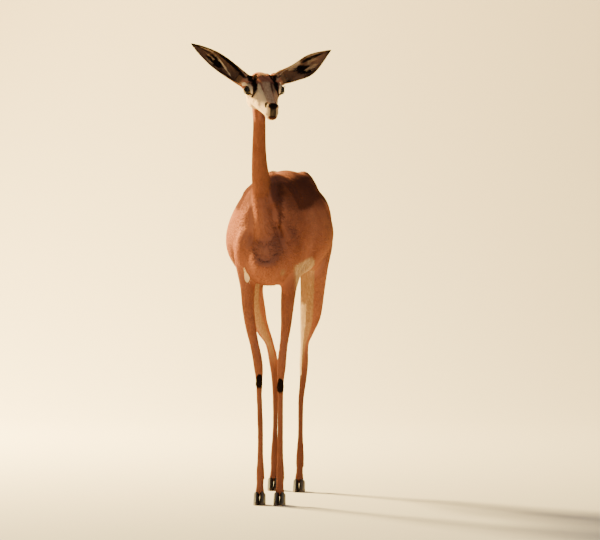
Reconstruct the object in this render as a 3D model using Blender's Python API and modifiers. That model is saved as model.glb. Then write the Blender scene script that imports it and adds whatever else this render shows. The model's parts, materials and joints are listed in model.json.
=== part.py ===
# A life-size still model of a standing female gerenuk.
# Metres, +Z up. The animal faces -Y, and its own left side is +X.
# The floor is the plane z = 0, and the origin is under the middle of the body's box.

import math
import random

import bmesh
import bpy
import numpy as np
from mathutils import Matrix, Vector
from mathutils.bvhtree import BVHTree

# Driving sizes
WITHERS_HEIGHT = 0.915
CROUP_HEIGHT = 0.911
BRISKET_HEIGHT = 0.600
NECK_FRONT_TOP = 0.960
BREAST_Y = -0.342
RUMP_Y = 0.372
BARREL_HALF_WIDTH = 0.141
RUMP_SWAY = 0.010
POLL_PLACE = Vector((-0.0148, -0.3925, 1.160))
HEAD_YAW = math.radians(17.2)
HEAD_PITCH = math.radians(17.5)
EYE_RADIUS = 0.0135
EYE_PLACE = (0.0425, 0.080, 0.0170)
LID_RADIUS = 0.0156
EAR_LENGTHS = {1.0: 0.187, -1.0: 0.178}
EAR_HALF_WIDTH = 0.0265
EAR_THICKNESS = 0.0024
MOUTH_HEIGHT = -0.0115
TAIL_LENGTH = 0.27
TAIL_TOP = 0.862
HOOF_HEIGHT = 0.030
GAP = 0.0003
SEED = 7

# Where each foot stands, as (x, y) of the middle of its sole
FEET = {
    "foreleg_left": (0.0305, -0.262),
    "foreleg_right": (-0.0255, -0.256),
    "hindleg_left": (0.0380, 0.222),
    "hindleg_right": (-0.0390, 0.272),
}

# Grain of the fused skin before it is thinned to few faces
BODY_VOXEL = 0.0032
HEAD_VOXEL = 0.0019
FACES_LEFT = {
    "torso": 0.0100,
    "neck": 0.0110,
    "foreleg": 0.0210,
    "hindleg": 0.0200,
    "head": 0.0360,
}


def clear_scene():
    for item in list(bpy.data.objects):
        bpy.data.objects.remove(item, do_unlink=True)


def collection_named(name):
    made = bpy.data.collections.new(name)
    bpy.context.scene.collection.children.link(made)
    return made


def add_object(name, mesh, collection):
    made = bpy.data.objects.new(name, mesh)
    collection.objects.link(made)
    return made


def add_from_bmesh(name, bm, collection):
    mesh = bpy.data.meshes.new(name)
    bm.to_mesh(mesh)
    bm.free()
    return add_object(name, mesh, collection)


def applied(item, name, collection):
    """The evaluated shape of an object as a plain new object; the old one goes."""
    graph = bpy.context.evaluated_depsgraph_get()
    mesh = bpy.data.meshes.new_from_object(item.evaluated_get(graph))
    mesh.transform(item.matrix_world)
    bpy.data.objects.remove(item, do_unlink=True)
    mesh.name = name
    return add_object(name, mesh, collection)


def smooth_rows(rows, count):
    """Rows of numbers joined by a smooth curve, read at even steps."""
    table = np.array(rows, dtype=float)
    steps = np.linspace(0.0, len(table) - 1.0, count)
    slopes = np.gradient(table, axis=0)
    first = np.minimum(steps.astype(int), len(table) - 2)
    t = (steps - first)[:, None]
    blend = 3.0 * t**2 - 2.0 * t**3
    curved = (t**3 - 2.0 * t**2 + t) * slopes[first] + (t**3 - t**2) * slopes[first + 1]
    return (1.0 - blend) * table[first] + blend * table[first + 1] + curved


def closed_loft(name, rings, collection):
    """Closed skin over rings of points, each with the same count, ends capped flat."""
    bm = bmesh.new()
    loops = [[bm.verts.new(point) for point in ring] for ring in rings]
    sides = len(loops[0])
    for lower, upper in zip(loops, loops[1:]):
        for i in range(sides):
            j = (i + 1) % sides
            bm.faces.new((lower[i], lower[j], upper[j], upper[i]))
    bm.faces.new(loops[0][::-1])
    bm.faces.new(loops[-1])
    bmesh.ops.recalc_face_normals(bm, faces=bm.faces[:])
    return add_from_bmesh(name, bm, collection)


def limb(name, rows, collection, rings=36, sides=18):
    """A round form along a path. A row is x, y, z, half width, half depth and
    how much narrower the back or top side is than the other."""
    path = smooth_rows(rows, rings)
    centres = path[:, :3]
    heading = np.gradient(centres, axis=0)
    heading /= np.linalg.norm(heading, axis=1)[:, None]
    across = np.array((1.0, 0.0, 0.0)) - heading * heading[:, :1]
    across /= np.linalg.norm(across, axis=1)[:, None]
    upward = np.cross(across, heading)
    turns = np.linspace(0.0, 2.0 * math.pi, sides, endpoint=False)
    rings_made = []
    for i in range(rings):
        narrow = 1.0 - path[i, 5] * np.sin(turns)
        wide = (path[i, 3] * narrow * np.cos(turns))[:, None] * across[i]
        deep = (path[i, 4] * np.sin(turns))[:, None] * upward[i]
        rings_made.append(centres[i] + wide + deep)
    return closed_loft(name, rings_made, collection)


def ellipsoid(name, centre, radii, collection, tilt=0.0, place=None):
    """A muscle or bone form: a sphere stretched, tipped about X and placed."""
    bm = bmesh.new()
    bmesh.ops.create_uvsphere(bm, u_segments=20, v_segments=12, radius=1.0)
    shape = Matrix.Translation(centre) @ Matrix.Rotation(tilt, 4, "X") @ Matrix.Diagonal((*radii, 1.0))
    if place is not None:
        shape = place @ shape
    bmesh.ops.transform(bm, matrix=shape, verts=bm.verts[:])
    return add_from_bmesh(name, bm, collection)


def fused(pieces, name, voxel, smoothing, collection, broad_above=None):
    """Overlapping closed forms made one skin, with the steps between them eased.
    Above the height broad_above it is eased more, where muscles flow into each other."""
    bm = bmesh.new()
    for piece in pieces:
        bm.from_mesh(piece.data)
        bpy.data.objects.remove(piece, do_unlink=True)
    whole = add_from_bmesh(name, bm, collection)
    remesh = whole.modifiers.new("skin", "REMESH")
    remesh.mode = "VOXEL"
    remesh.voxel_size = voxel
    smooth = whole.modifiers.new("ease", "SMOOTH")
    smooth.factor = 0.5
    smooth.iterations = smoothing
    whole = applied(whole, name, collection)
    if broad_above is not None:
        group = whole.vertex_groups.new(name="broad")
        for corner in whole.data.vertices:
            rise = (corner.co.z - broad_above) / 0.05
            ahead = (NECK_FRONT_TOP - corner.co.z) / 0.05
            group.add([corner.index], min(1.0, max(0.0, min(rise, ahead))), "REPLACE")
        flow = whole.modifiers.new("flow", "SMOOTH")
        flow.factor = 0.5
        flow.iterations = 22
        flow.vertex_group = "broad"
        whole = applied(whole, name, collection)
    keep_one_body(whole)
    return whole


def thinned(whole, name, ratio, collection):
    """A copy with fewer faces, kept dense only where the form turns."""
    copy = add_object(name, whole.data.copy(), collection)
    decimate = copy.modifiers.new("thin", "DECIMATE")
    decimate.ratio = ratio
    return applied(copy, name, collection)


def bodies_of(bm):
    """The separate closed bodies of a mesh, each as a list of its faces."""
    seen = set()
    bodies = []
    for start in bm.faces:
        if start in seen:
            continue
        seen.add(start)
        stack = [start]
        body = []
        while stack:
            face = stack.pop()
            body.append(face)
            for edge in face.edges:
                for other in edge.link_faces:
                    if other not in seen:
                        seen.add(other)
                        stack.append(other)
        bodies.append(body)
    return bodies


def keep_one_body(item, near=None):
    """Keeps the largest closed body, or the one with a point nearest to a place."""
    bm = bmesh.new()
    bm.from_mesh(item.data)
    bmesh.ops.triangulate(bm, faces=bm.faces[:])
    bodies = bodies_of(bm)

    def size(body):
        centre = body[0].verts[0].co
        return sum(abs((f.verts[0].co - centre).dot(
            (f.verts[1].co - centre).cross(f.verts[2].co - centre))) for f in body)

    def distance(body):
        return min((f.calc_center_median() - near).length for f in body)

    kept = max(bodies, key=size) if near is None else min(bodies, key=distance)
    kept = set(kept)
    dropped = [face for face in bm.faces if face not in kept]
    bmesh.ops.delete(bm, geom=dropped, context="FACES")
    bmesh.ops.delete(bm, geom=[v for v in bm.verts if not v.link_faces], context="VERTS")
    bm.to_mesh(item.data)
    bm.free()


def cut_off(item, point, normal):
    """Takes away what lies on the normal's side of a plane and closes the cut flat."""
    bm = bmesh.new()
    bm.from_mesh(item.data)
    everything = bm.verts[:] + bm.edges[:] + bm.faces[:]
    bmesh.ops.bisect_plane(bm, geom=everything, dist=0.00002, plane_co=point,
                           plane_no=normal, clear_outer=True)
    rim = [edge for edge in bm.edges if edge.is_boundary]
    bmesh.ops.holes_fill(bm, edges=rim, sides=0)
    bmesh.ops.triangulate(bm, faces=bm.faces[:])
    bm.to_mesh(item.data)
    bm.free()


def boolean(item, others, operation, name, collection, solver="EXACT"):
    """One Boolean with a collection of closed objects, which then go."""
    tools = collection_named(name + "_tools")
    for other in others:
        for home in list(other.users_collection):
            home.objects.unlink(other)
        tools.objects.link(other)
    modifier = item.modifiers.new("join", "BOOLEAN")
    modifier.operation = operation
    modifier.solver = solver
    modifier.operand_type = "COLLECTION"
    modifier.collection = tools
    made = applied(item, name, collection)
    for other in others:
        bpy.data.objects.remove(other, do_unlink=True)
    bpy.data.collections.remove(tools)
    return made


def coat_material(name, colour, roughness):
    made = bpy.data.materials.new(name)
    made.use_nodes = True
    shader = made.node_tree.nodes["Principled BSDF"]
    shader.inputs["Base Color"].default_value = (*colour, 1.0)
    shader.inputs["Roughness"].default_value = roughness
    shader.inputs["Metallic"].default_value = 0.0
    return made


def lock(name, root, lie, lift, length, width, thickness, collection):
    """A flat tapered lock of hair. It leaves along lie, curls by lift and ends in a point."""
    lie = Vector(lie).normalized()
    lift = Vector(lift)
    flat = lie.cross(lift if lift.length > 1e-6 else Vector((0, 0, 1))).normalized()
    bm = bmesh.new()
    shares = (0.0, 0.28, 0.55, 0.80)
    swell = (0.75, 1.0, 0.86, 0.52)
    loops = []
    for share, wide in zip(shares, swell):
        centre = Vector(root) + lie * (length * share) + lift * (length * share * share)
        heading = (lie + lift * (2.0 * share)).normalized()
        outward = heading.cross(flat).normalized()
        half = flat * (width * 0.5 * wide)
        thick = outward * (thickness * 0.5 * (0.6 + 0.4 * wide))
        loops.append([bm.verts.new(centre + offset) for offset in (half, thick, -half, -thick)])
    tip = bm.verts.new(Vector(root) + lie * length + lift * length)
    for lower, upper in zip(loops, loops[1:]):
        for i in range(4):
            j = (i + 1) % 4
            bm.faces.new((lower[i], lower[j], upper[j], upper[i]))
    for i in range(4):
        bm.faces.new((loops[-1][i], loops[-1][(i + 1) % 4], tip))
    bm.faces.new(loops[0][::-1])
    bmesh.ops.triangulate(bm, faces=bm.faces[:])
    bmesh.ops.recalc_face_normals(bm, faces=bm.faces[:])
    return add_from_bmesh(name, bm, collection)


def head_frame():
    """From the head's own axes (side, forward, up) to the model's."""
    turn = Matrix.Rotation(HEAD_YAW, 4, "Z") @ Matrix.Rotation(HEAD_PITCH, 4, "X")
    own_axes = Matrix.Diagonal((1.0, -1.0, 1.0, 1.0))
    return Matrix.Translation(POLL_PLACE) @ turn @ own_axes


def in_head(side, forward, up):
    return head_frame() @ Vector((side, forward, up))


def sway_at(y):
    """How far the hindquarters stand over to the animal's left."""
    share = min(1.0, max(0.0, (y + 0.10) / 0.40))
    return RUMP_SWAY * share * share * (3.0 - 2.0 * share)


def trunk_forms(collection):
    """Barrel, shoulders and haunches. A row is y, top, bottom, half width, top narrowing."""
    barrel = (
        (BREAST_Y, 0.742, 0.704, 0.014, 0.00),
        (BREAST_Y + 0.008, 0.770, 0.668, 0.034, 0.00),
        (BREAST_Y + 0.030, 0.798, 0.616, 0.058, 0.06),
        (-0.262, 0.846, BRISKET_HEIGHT - 0.006, 0.090, 0.20),
        (-0.200, WITHERS_HEIGHT - 0.004, BRISKET_HEIGHT + 0.001, 0.110, 0.25),
        (-0.120, WITHERS_HEIGHT - 0.002, BRISKET_HEIGHT + 0.008, 0.129, 0.28),
        (-0.020, WITHERS_HEIGHT - 0.009, BRISKET_HEIGHT + 0.016, 0.139, 0.30),
        (0.080, CROUP_HEIGHT - 0.004, BRISKET_HEIGHT + 0.032, BARREL_HALF_WIDTH, 0.29),
        (0.165, CROUP_HEIGHT, BRISKET_HEIGHT + 0.055, 0.122, 0.22),
        (0.240, CROUP_HEIGHT - 0.008, BRISKET_HEIGHT + 0.080, 0.105, 0.20),
        (0.305, CROUP_HEIGHT - 0.030, BRISKET_HEIGHT + 0.095, 0.088, 0.18),
        (0.350, CROUP_HEIGHT - 0.064, BRISKET_HEIGHT + 0.120, 0.062, 0.06),
        (RUMP_Y, CROUP_HEIGHT - 0.105, BRISKET_HEIGHT + 0.170, 0.024, 0.00),
    )
    rows = [(sway_at(y), y, (top + low) / 2.0, half, (top - low) / 2.0, narrow)
            for y, top, low, half, narrow in barrel]
    forms = [limb("barrel", rows, collection, rings=44, sides=28)]
    for side in (-1.0, 1.0):
        forms.append(ellipsoid("blade", (side * 0.056, -0.190, 0.775), (0.040, 0.066, 0.110),
                               collection, tilt=math.radians(-18)))
        forms.append(ellipsoid("shoulder", (side * 0.060, -0.258, 0.705), (0.034, 0.048, 0.072),
                               collection, tilt=math.radians(24)))
        forms.append(ellipsoid("haunch", (sway_at(0.25) + side * 0.062, 0.250, 0.752),
                               (0.057, 0.098, 0.100), collection, tilt=math.radians(-18)))
        forms.append(ellipsoid("hip", (sway_at(0.17) + side * 0.038, 0.172, 0.853),
                               (0.041, 0.105, 0.048), collection))
        forms.append(ellipsoid("ham", (RUMP_SWAY + side * 0.058, 0.284, 0.712),
                               (0.045, 0.060, 0.112), collection, tilt=math.radians(-22)))
        forms.append(ellipsoid("flank", (sway_at(0.12) + side * 0.082, 0.120, 0.690),
                               (0.030, 0.080, 0.060), collection, tilt=math.radians(-35)))
    forms.append(ellipsoid("dock", (RUMP_SWAY, 0.340, 0.855), (0.017, 0.062, 0.021), collection))
    forms.append(ellipsoid("seat", (RUMP_SWAY, 0.280, 0.745), (0.052, 0.062, 0.095), collection,
                           tilt=math.radians(-12)))
    return forms


def neck_form(collection, upper_only=False):
    rows = (
        (-0.002, -0.205, 0.690, 0.066, 0.110, 0.0),
        (-0.003, -0.235, 0.750, 0.053, 0.104, 0.0),
        (-0.009, -0.262, 0.815, 0.0390, 0.086, 0.0),
        (-0.016, -0.286, 0.878, 0.0285, 0.060, 0.0),
        (-0.0198, -0.312, 0.940, 0.0230, 0.0425, 0.0),
        (-0.0183, -0.338, 1.000, 0.0205, 0.0325, 0.0),
        (-0.0155, -0.359, 1.056, 0.0192, 0.0302, 0.0),
        (-0.0145, -0.378, 1.112, 0.0205, 0.0310, 0.0),
        (POLL_PLACE.x, POLL_PLACE.y, POLL_PLACE.z - 0.004, 0.0220, 0.0300, 0.0),
    )
    if upper_only:
        rows = rows[5:]
    return limb("neck_core", rows, collection, rings=5 * len(rows), sides=20)


def leg_rows(foot, side, upper, lower):
    """A leg from the trunk to the sole. An upper row is y, z, half depth, then the inner
    and outer edges of the left leg and of the right, which stand differently."""
    rows = []
    for back, height, deep, *edges in upper:
        inner, outer = edges[:2] if side > 0.0 else edges[2:]
        rows.append((side * (inner + outer) / 2.0, back, height, (outer - inner) / 2.0, deep, 0.0))
    for behind, height, half, deep in lower:
        rows.append((foot[0], foot[1] + behind, height, half, deep, 0.0))
    return rows


def foreleg_rows(foot, side):
    y = foot[1]
    return leg_rows(foot, side, (
        (-0.222, 0.760, 0.058, 0.0360, 0.0960, 0.0360, 0.0960),
        (-0.226, 0.700, 0.056, 0.0310, 0.0990, 0.0330, 0.1010),
        (-0.212, 0.640, 0.047, 0.0275, 0.0865, 0.0345, 0.0935),
        (-0.216, 0.595, 0.036, 0.0285, 0.0745, 0.0410, 0.0840),
        (-0.226, 0.545, 0.0265, 0.0293, 0.0677, 0.0420, 0.0780),
        (-0.234, 0.490, 0.0208, 0.0300, 0.0610, 0.0360, 0.0680),
        (y + 0.021, 0.446, 0.0170, 0.0273, 0.0537, 0.0280, 0.0570),
        (y + 0.016, 0.408, 0.0190, 0.0227, 0.0503, 0.0192, 0.0488),
        (y + 0.016, 0.378, 0.0186, 0.0198, 0.0482, 0.0155, 0.0445),
        (y + 0.021, 0.345, 0.0152, 0.0199, 0.0431, 0.0169, 0.0401),
        (y + 0.022, 0.300, 0.0132, 0.0212, 0.0408, 0.0187, 0.0383),
    ), (
        (0.022, 0.215, 0.0099, 0.0130),
        (0.022, 0.135, 0.0102, 0.0134),
        (0.023, 0.090, 0.0132, 0.0160),
        (0.013, 0.056, 0.0120, 0.0134),
        (0.005, 0.030, 0.0150, 0.0168),
        (0.001, 0.008, 0.0138, 0.0156),
    ))


def hindleg_rows(foot, side):
    y = foot[1]
    return leg_rows(foot, side, (
        (0.222, 0.886, 0.034, 0.0150, 0.0560, 0.0010, 0.0480),
        (0.228, 0.874, 0.048, 0.0150, 0.0730, 0.0010, 0.0645),
        (0.236, 0.850, 0.064, 0.0150, 0.0885, 0.0010, 0.0790),
        (0.240, 0.800, 0.084, 0.0170, 0.1095, 0.0010, 0.0950),
        (0.228, 0.720, 0.090, 0.0260, 0.1340, 0.0210, 0.1220),
        (0.200, 0.640, 0.074, 0.0400, 0.1240, 0.0450, 0.1240),
        (0.206, 0.570, 0.056, 0.0425, 0.1130, 0.0610, 0.1210),
        (y, 0.500, 0.041, 0.0405, 0.1010, 0.0605, 0.1140),
        (y + 0.018, 0.455, 0.030, 0.0385, 0.0810, 0.0525, 0.0910),
        (y + 0.036, 0.415, 0.0225, 0.0370, 0.0635, 0.0420, 0.0675),
        (y + 0.060, 0.356, 0.0235, 0.0320, 0.0595, 0.0310, 0.0585),
        (y + 0.060, 0.312, 0.0185, 0.0325, 0.0550, 0.0300, 0.0525),
    ), (
        (0.053, 0.250, 0.0096, 0.0150),
        (0.042, 0.165, 0.0090, 0.0138),
        (0.030, 0.095, 0.0132, 0.0162),
        (0.015, 0.058, 0.0120, 0.0134),
        (0.005, 0.030, 0.0150, 0.0168),
        (0.001, 0.008, 0.0138, 0.0156),
    ))


def leg_forms(collection):
    forms = []
    for name, foot in FEET.items():
        side = 1.0 if foot[0] > 0.0 else -1.0
        fore = name.startswith("fore")
        rows = foreleg_rows(foot, side) if fore else hindleg_rows(foot, side)
        forms.append(limb(name + "_core", rows, collection, rings=64, sides=18))
        heel = (0.030 if fore else 0.036) + foot[1]
        for claw in (-1.0, 1.0):
            forms.append(ellipsoid("dewclaw", (foot[0] + claw * 0.0085, heel + 0.008, 0.074),
                                   (0.0055, 0.0070, 0.0105), collection,
                                   tilt=math.radians(25)))
        if not fore:
            point = (side * 0.0450, foot[1] + 0.083, 0.374)
            forms.append(ellipsoid("hock_point", point, (0.0095, 0.0130, 0.0260), collection,
                                   tilt=math.radians(20)))
        else:
            forms.append(ellipsoid("elbow", (side * 0.066, -0.172, 0.640),
                                   (0.0170, 0.0240, 0.0300), collection))
    return forms


def head_forms(collection):
    """Skull, cheeks, orbits, nose pad and lips, in the head's own axes."""
    frame = head_frame()
    profile = (
        (-0.026, 0.028, -0.030, 0.0210, 0.0),
        (-0.006, 0.040, -0.040, 0.0300, 0.0),
        (0.022, 0.0485, -0.0470, 0.0385, 0.0),
        (0.052, 0.0520, -0.0480, 0.0430, -0.02),
        (0.082, 0.0480, -0.0440, 0.0420, -0.08),
        (0.110, 0.0390, -0.0390, 0.0340, -0.06),
        (0.140, 0.0300, -0.0350, 0.0250, 0.00),
        (0.170, 0.0245, -0.0325, 0.0203, 0.04),
        (0.194, 0.0215, -0.0310, 0.0188, 0.04),
        (0.207, 0.0165, -0.0275, 0.0162, 0.02),
        (0.215, 0.0080, -0.0180, 0.0100, 0.0),
    )
    rows = [(0.0, f, (top + low) / 2.0, half, (top - low) / 2.0, narrow)
            for f, top, low, half, narrow in profile]
    skull = limb("skull", rows, collection, rings=44, sides=28)
    skull.data.transform(frame)
    skull.data.flip_normals()
    forms = [skull]
    side_x, eye_f, eye_h = EYE_PLACE
    for side in (-1.0, 1.0):
        places = (
            ((side * 0.0350, eye_f - 0.004, eye_h + 0.002), (0.0180, 0.0260, 0.0200)),
            ((side * side_x, eye_f, eye_h), (LID_RADIUS, LID_RADIUS, LID_RADIUS)),
            ((side * 0.0350, 0.058, 0.0080), (0.0150, 0.0280, 0.0240)),
            ((side * 0.0265, 0.048, -0.0190), (0.0145, 0.0400, 0.0260)),
            ((side * 0.0385, 0.040, 0.0100), (0.0130, 0.0250, 0.0220)),
            ((side * 0.0235, 0.106, -0.0010), (0.0092, 0.0380, 0.0170)),
            ((side * 0.0095, 0.2005, 0.0115), (0.0098, 0.0130, 0.0105)),
            ((side * 0.0105, 0.1920, -0.0070), (0.0100, 0.0190, 0.0062)),
            ((side * 0.0078, 0.1900, -0.0205), (0.0092, 0.0190, 0.0085)),
            ((side * 0.0125, 0.050, 0.0420), (0.0125, 0.0240, 0.0115)),
        )
        for centre, radii in places:
            forms.append(ellipsoid("head_form", centre, radii, collection, place=frame))
    for form in forms:
        bm = bmesh.new()
        bm.from_mesh(form.data)
        bmesh.ops.recalc_face_normals(bm, faces=bm.faces[:])
        bm.to_mesh(form.data)
        bm.free()
    return forms


class Ear:
    """One ear: its root, the axis to its tip and the side that its cup opens to."""

    def __init__(self, side):
        self.side = side
        yaw = Matrix.Rotation(HEAD_YAW, 3, "Z")
        reach = Vector((0.142, 0.027, 0.100)) if side < 0 else Vector((0.158, 0.036, 0.078))
        self.axis = (yaw @ Vector((side * reach.x, reach.y, reach.z))).normalized()
        opening = yaw @ Vector((side * 0.20, -1.0, -0.06))
        self.open_way = (opening - self.axis * opening.dot(self.axis)).normalized()
        self.width_way = self.axis.cross(self.open_way).normalized()
        self.root = in_head(side * 0.0400, 0.018, 0.0215)
        self.length = EAR_LENGTHS[side]
        self.sag_way = self.width_way if self.width_way.z < 0.0 else -self.width_way

    def section(self, share, scale=1.0, steps=13, bound=1.0):
        """Points across the leaf at a share of its length, from edge to edge."""
        if self.side > 0.0:
            halves = (0.68, 0.73, 0.79, 0.88, 1.00, 1.04, 0.86, 0.50, 0.045)
            sag = 0.0105
        else:
            halves = (0.72, 0.74, 0.79, 0.84, 0.84, 0.77, 0.60, 0.37, 0.045)
            sag = -0.0010
        spreads = (148.0, 126.0, 102.0, 84.0, 72.0, 62.0, 54.0, 48.0, 44.0)
        table = smooth_rows(list(zip(halves, spreads)), 101)
        half, spread = table[max(0, int(round(share * 100)))]
        half *= EAR_HALF_WIDTH
        spread = math.radians(spread)
        radius = half * scale / math.sin(min(spread, math.pi / 2.0))
        bow = 0.010 * math.sin(math.pi * share)
        sag *= math.sin(math.pi * min(1.0, max(0.0, (share - 0.12) / 0.88)))
        centre = (self.root + self.axis * (self.length * share) + self.sag_way * sag
                  - self.open_way * (bow + radius * 0.55))
        points = []
        for step in np.linspace(-bound, bound, steps):
            turn = spread * step
            points.append(centre + self.width_way * (radius * math.sin(turn))
                          + self.open_way * (radius * (1.0 - math.cos(turn))))
        return points

    def leaf(self, name, collection):
        """The ear's wall: an open leaf, given its thickness by Solidify."""
        bm = bmesh.new()
        rows = [[bm.verts.new(p) for p in self.section(share)]
                for share in np.linspace(0.0, 1.0, 17)]
        for lower, upper in zip(rows, rows[1:]):
            for i in range(len(lower) - 1):
                bm.faces.new((lower[i], lower[i + 1], upper[i + 1], upper[i]))
        leaf = add_from_bmesh(name, bm, collection)
        wall = leaf.modifiers.new("wall", "SOLIDIFY")
        wall.thickness = EAR_THICKNESS
        wall.offset = 0.0
        return applied(leaf, name, collection)

    def stub(self, collection):
        """The solid root of the ear, which belongs to the head."""
        rings = []
        for share, scale in ((-0.08, 1.34), (-0.04, 1.24), (0.0, 1.12), (0.05, 1.03),
                             (0.10, 0.98), (0.16, 0.92)):
            centre_ring = self.section(share, scale=scale, steps=19, bound=180.0 / 148.0 * 0.94)
            rings.append(centre_ring)
        bulb = ellipsoid("ear_bulb", self.root + self.axis * 0.004 - self.open_way * 0.006,
                         (0.0190, 0.0210, 0.0215), collection)
        return [closed_loft("ear_stub", rings, collection), bulb]

    def root_plane(self):
        return self.root + self.axis * (self.length * 0.11), self.axis


def eye_centre(side):
    side_x, eye_f, eye_h = EYE_PLACE
    return in_head(side * side_x, eye_f, eye_h)


def eye_ball(name, side, radius, collection, rings=12):
    bm = bmesh.new()
    bmesh.ops.create_uvsphere(bm, u_segments=rings + 4, v_segments=rings, radius=radius)
    bmesh.ops.translate(bm, vec=eye_centre(side), verts=bm.verts[:])
    return add_from_bmesh(name, bm, collection)


def lid_opening(side, collection):
    """The almond between the lids, facing out and somewhat forward."""
    out = Vector((side * 0.80, 0.58, 0.10)).normalized()
    along = Vector((0.0, 0.0, 1.0)).cross(out).normalized()
    high = out.cross(along)
    axes = Matrix((along, high, out)).transposed().to_4x4()
    tip = Matrix.Rotation(side * math.radians(-8), 4, "Z")
    centre = Vector((side * EYE_PLACE[0], EYE_PLACE[1], EYE_PLACE[2])) + out * 0.0125
    bm = bmesh.new()
    bmesh.ops.create_uvsphere(bm, u_segments=16, v_segments=10, radius=1.0)
    shape = Matrix.Translation(centre) @ axes @ tip @ Matrix.Diagonal((0.0126, 0.0096, 0.0088, 1.0))
    bmesh.ops.transform(bm, matrix=head_frame() @ shape, verts=bm.verts[:])
    bmesh.ops.recalc_face_normals(bm, faces=bm.faces[:])
    return add_from_bmesh("lid_opening", bm, collection)


def surface_point(tree, outside, inside):
    """Where a line from outside towards inside first meets the skin."""
    way = (inside - outside).normalized()
    place, _, _, _ = tree.ray_cast(outside, way)
    return place


def mouth_cutter(head, collection):
    """A fine groove that follows the skin from one corner of the mouth to the other."""
    tree = BVHTree.FromObject(head, bpy.context.evaluated_depsgraph_get())
    points = []
    for turn in np.linspace(-1.0, 1.0, 23):
        back = abs(turn)
        forward = 0.206 - 0.054 * back**1.3
        height = MOUTH_HEIGHT + 0.003 * back**2
        inner = in_head(0.0, forward - 0.030 * (1.0 - back), height)
        swing = math.radians(90.0) * turn
        outer = inner + (head_frame().to_3x3() @ Vector((math.sin(swing), math.cos(swing), 0.0))) * 0.08
        place = surface_point(tree, outer, inner)
        if place is not None:
            points.append(place)
    curve = bpy.data.curves.new("mouth_line", "CURVE")
    curve.dimensions = "3D"
    curve.bevel_depth = 0.0013
    curve.bevel_resolution = 0
    curve.use_fill_caps = True
    spline = curve.splines.new("POLY")
    spline.points.add(len(points) - 1)
    for slot, place in zip(spline.points, points):
        slot.co = (*place, 1.0)
    line = applied(add_object("mouth_line", curve, collection), "mouth_line", collection)
    bm = bmesh.new()
    bm.from_mesh(line.data)
    bmesh.ops.remove_doubles(bm, verts=bm.verts[:], dist=0.00002)
    bmesh.ops.triangulate(bm, faces=bm.faces[:])
    bmesh.ops.recalc_face_normals(bm, faces=bm.faces[:])
    bm.to_mesh(line.data)
    bm.free()
    return line


def nostril_cutter(side, collection):
    turn = Matrix.Rotation(side * math.radians(24), 4, "Z") @ Matrix.Rotation(
        side * math.radians(28), 4, "Y")
    bm = bmesh.new()
    bmesh.ops.create_uvsphere(bm, u_segments=12, v_segments=8, radius=1.0)
    shape = (Matrix.Translation((side * 0.0155, 0.1880, 0.0120)) @ turn
             @ Matrix.Diagonal((0.0034, 0.0080, 0.0040, 1.0)))
    bmesh.ops.transform(bm, matrix=head_frame() @ shape, verts=bm.verts[:])
    bmesh.ops.recalc_face_normals(bm, faces=bm.faces[:])
    return add_from_bmesh("nostril", bm, collection)


def tail_forms(collection):
    length = TAIL_LENGTH
    top = TAIL_TOP
    rows = (
        (RUMP_SWAY, 0.330, top + 0.002, 0.0150, 0.0165, 0.0),
        (RUMP_SWAY, 0.372, top - 0.002, 0.0128, 0.0138, 0.0),
        (RUMP_SWAY, 0.398, top - 0.024, 0.0102, 0.0105, 0.0),
        (RUMP_SWAY, 0.408, top - 0.25 * length, 0.0085, 0.0085, 0.0),
        (RUMP_SWAY, 0.411, top - 0.45 * length, 0.0072, 0.0072, 0.0),
        (RUMP_SWAY, 0.410, top - 0.64 * length, 0.0060, 0.0060, 0.0),
        (RUMP_SWAY, 0.408, top - 0.74 * length, 0.0036, 0.0036, 0.0),
    )
    return limb("tail_core", rows, collection, rings=16, sides=10)


def tail_tuft(collection):
    """Locks round the last third of the tail, lying down it and a little outwards."""
    dice = random.Random(SEED)
    top = TAIL_TOP
    locks = []
    for tier, drop in enumerate((0.48, 0.58, 0.68)):
        for spoke in range(5):
            turn = 2.0 * math.pi * (spoke + 0.5 * (tier % 2)) / 5.0 + dice.uniform(-0.15, 0.15)
            out = Vector((math.cos(turn), math.sin(turn), 0.0))
            root = Vector((RUMP_SWAY, 0.410, top - drop * TAIL_LENGTH)) + out * 0.0030
            lie = Vector((0.0, 0.0, -1.0)) + out * (0.20 + 0.05 * dice.random())
            locks.append(lock("tuft", root, lie, out * -0.13, 0.080 + 0.012 * dice.random(),
                              0.0105, 0.0034, collection))
    return locks


def knee_brush(foot, side, collection):
    """Short stiff locks on the front and sides of the knee, lying down the leg."""
    dice = random.Random(SEED + int(side))
    x, y = foot
    locks = []
    for tier, height in enumerate((0.364, 0.351, 0.338)):
        for spoke in range(4):
            turn = math.radians(-90.0 + (spoke - 1.5 + 0.4 * (tier % 2)) * 34.0)
            out = Vector((math.cos(turn), math.sin(turn), 0.0))
            root = Vector((x + side * 0.002, y + 0.018, height)) + out * 0.0095
            lie = Vector((0.0, 0.0, -1.0)) + out * (0.36 + 0.08 * dice.random())
            locks.append(lock("brush", root, lie, out * -0.24, 0.030 + 0.005 * dice.random(),
                              0.0095, 0.0034, collection))
    return locks


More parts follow.
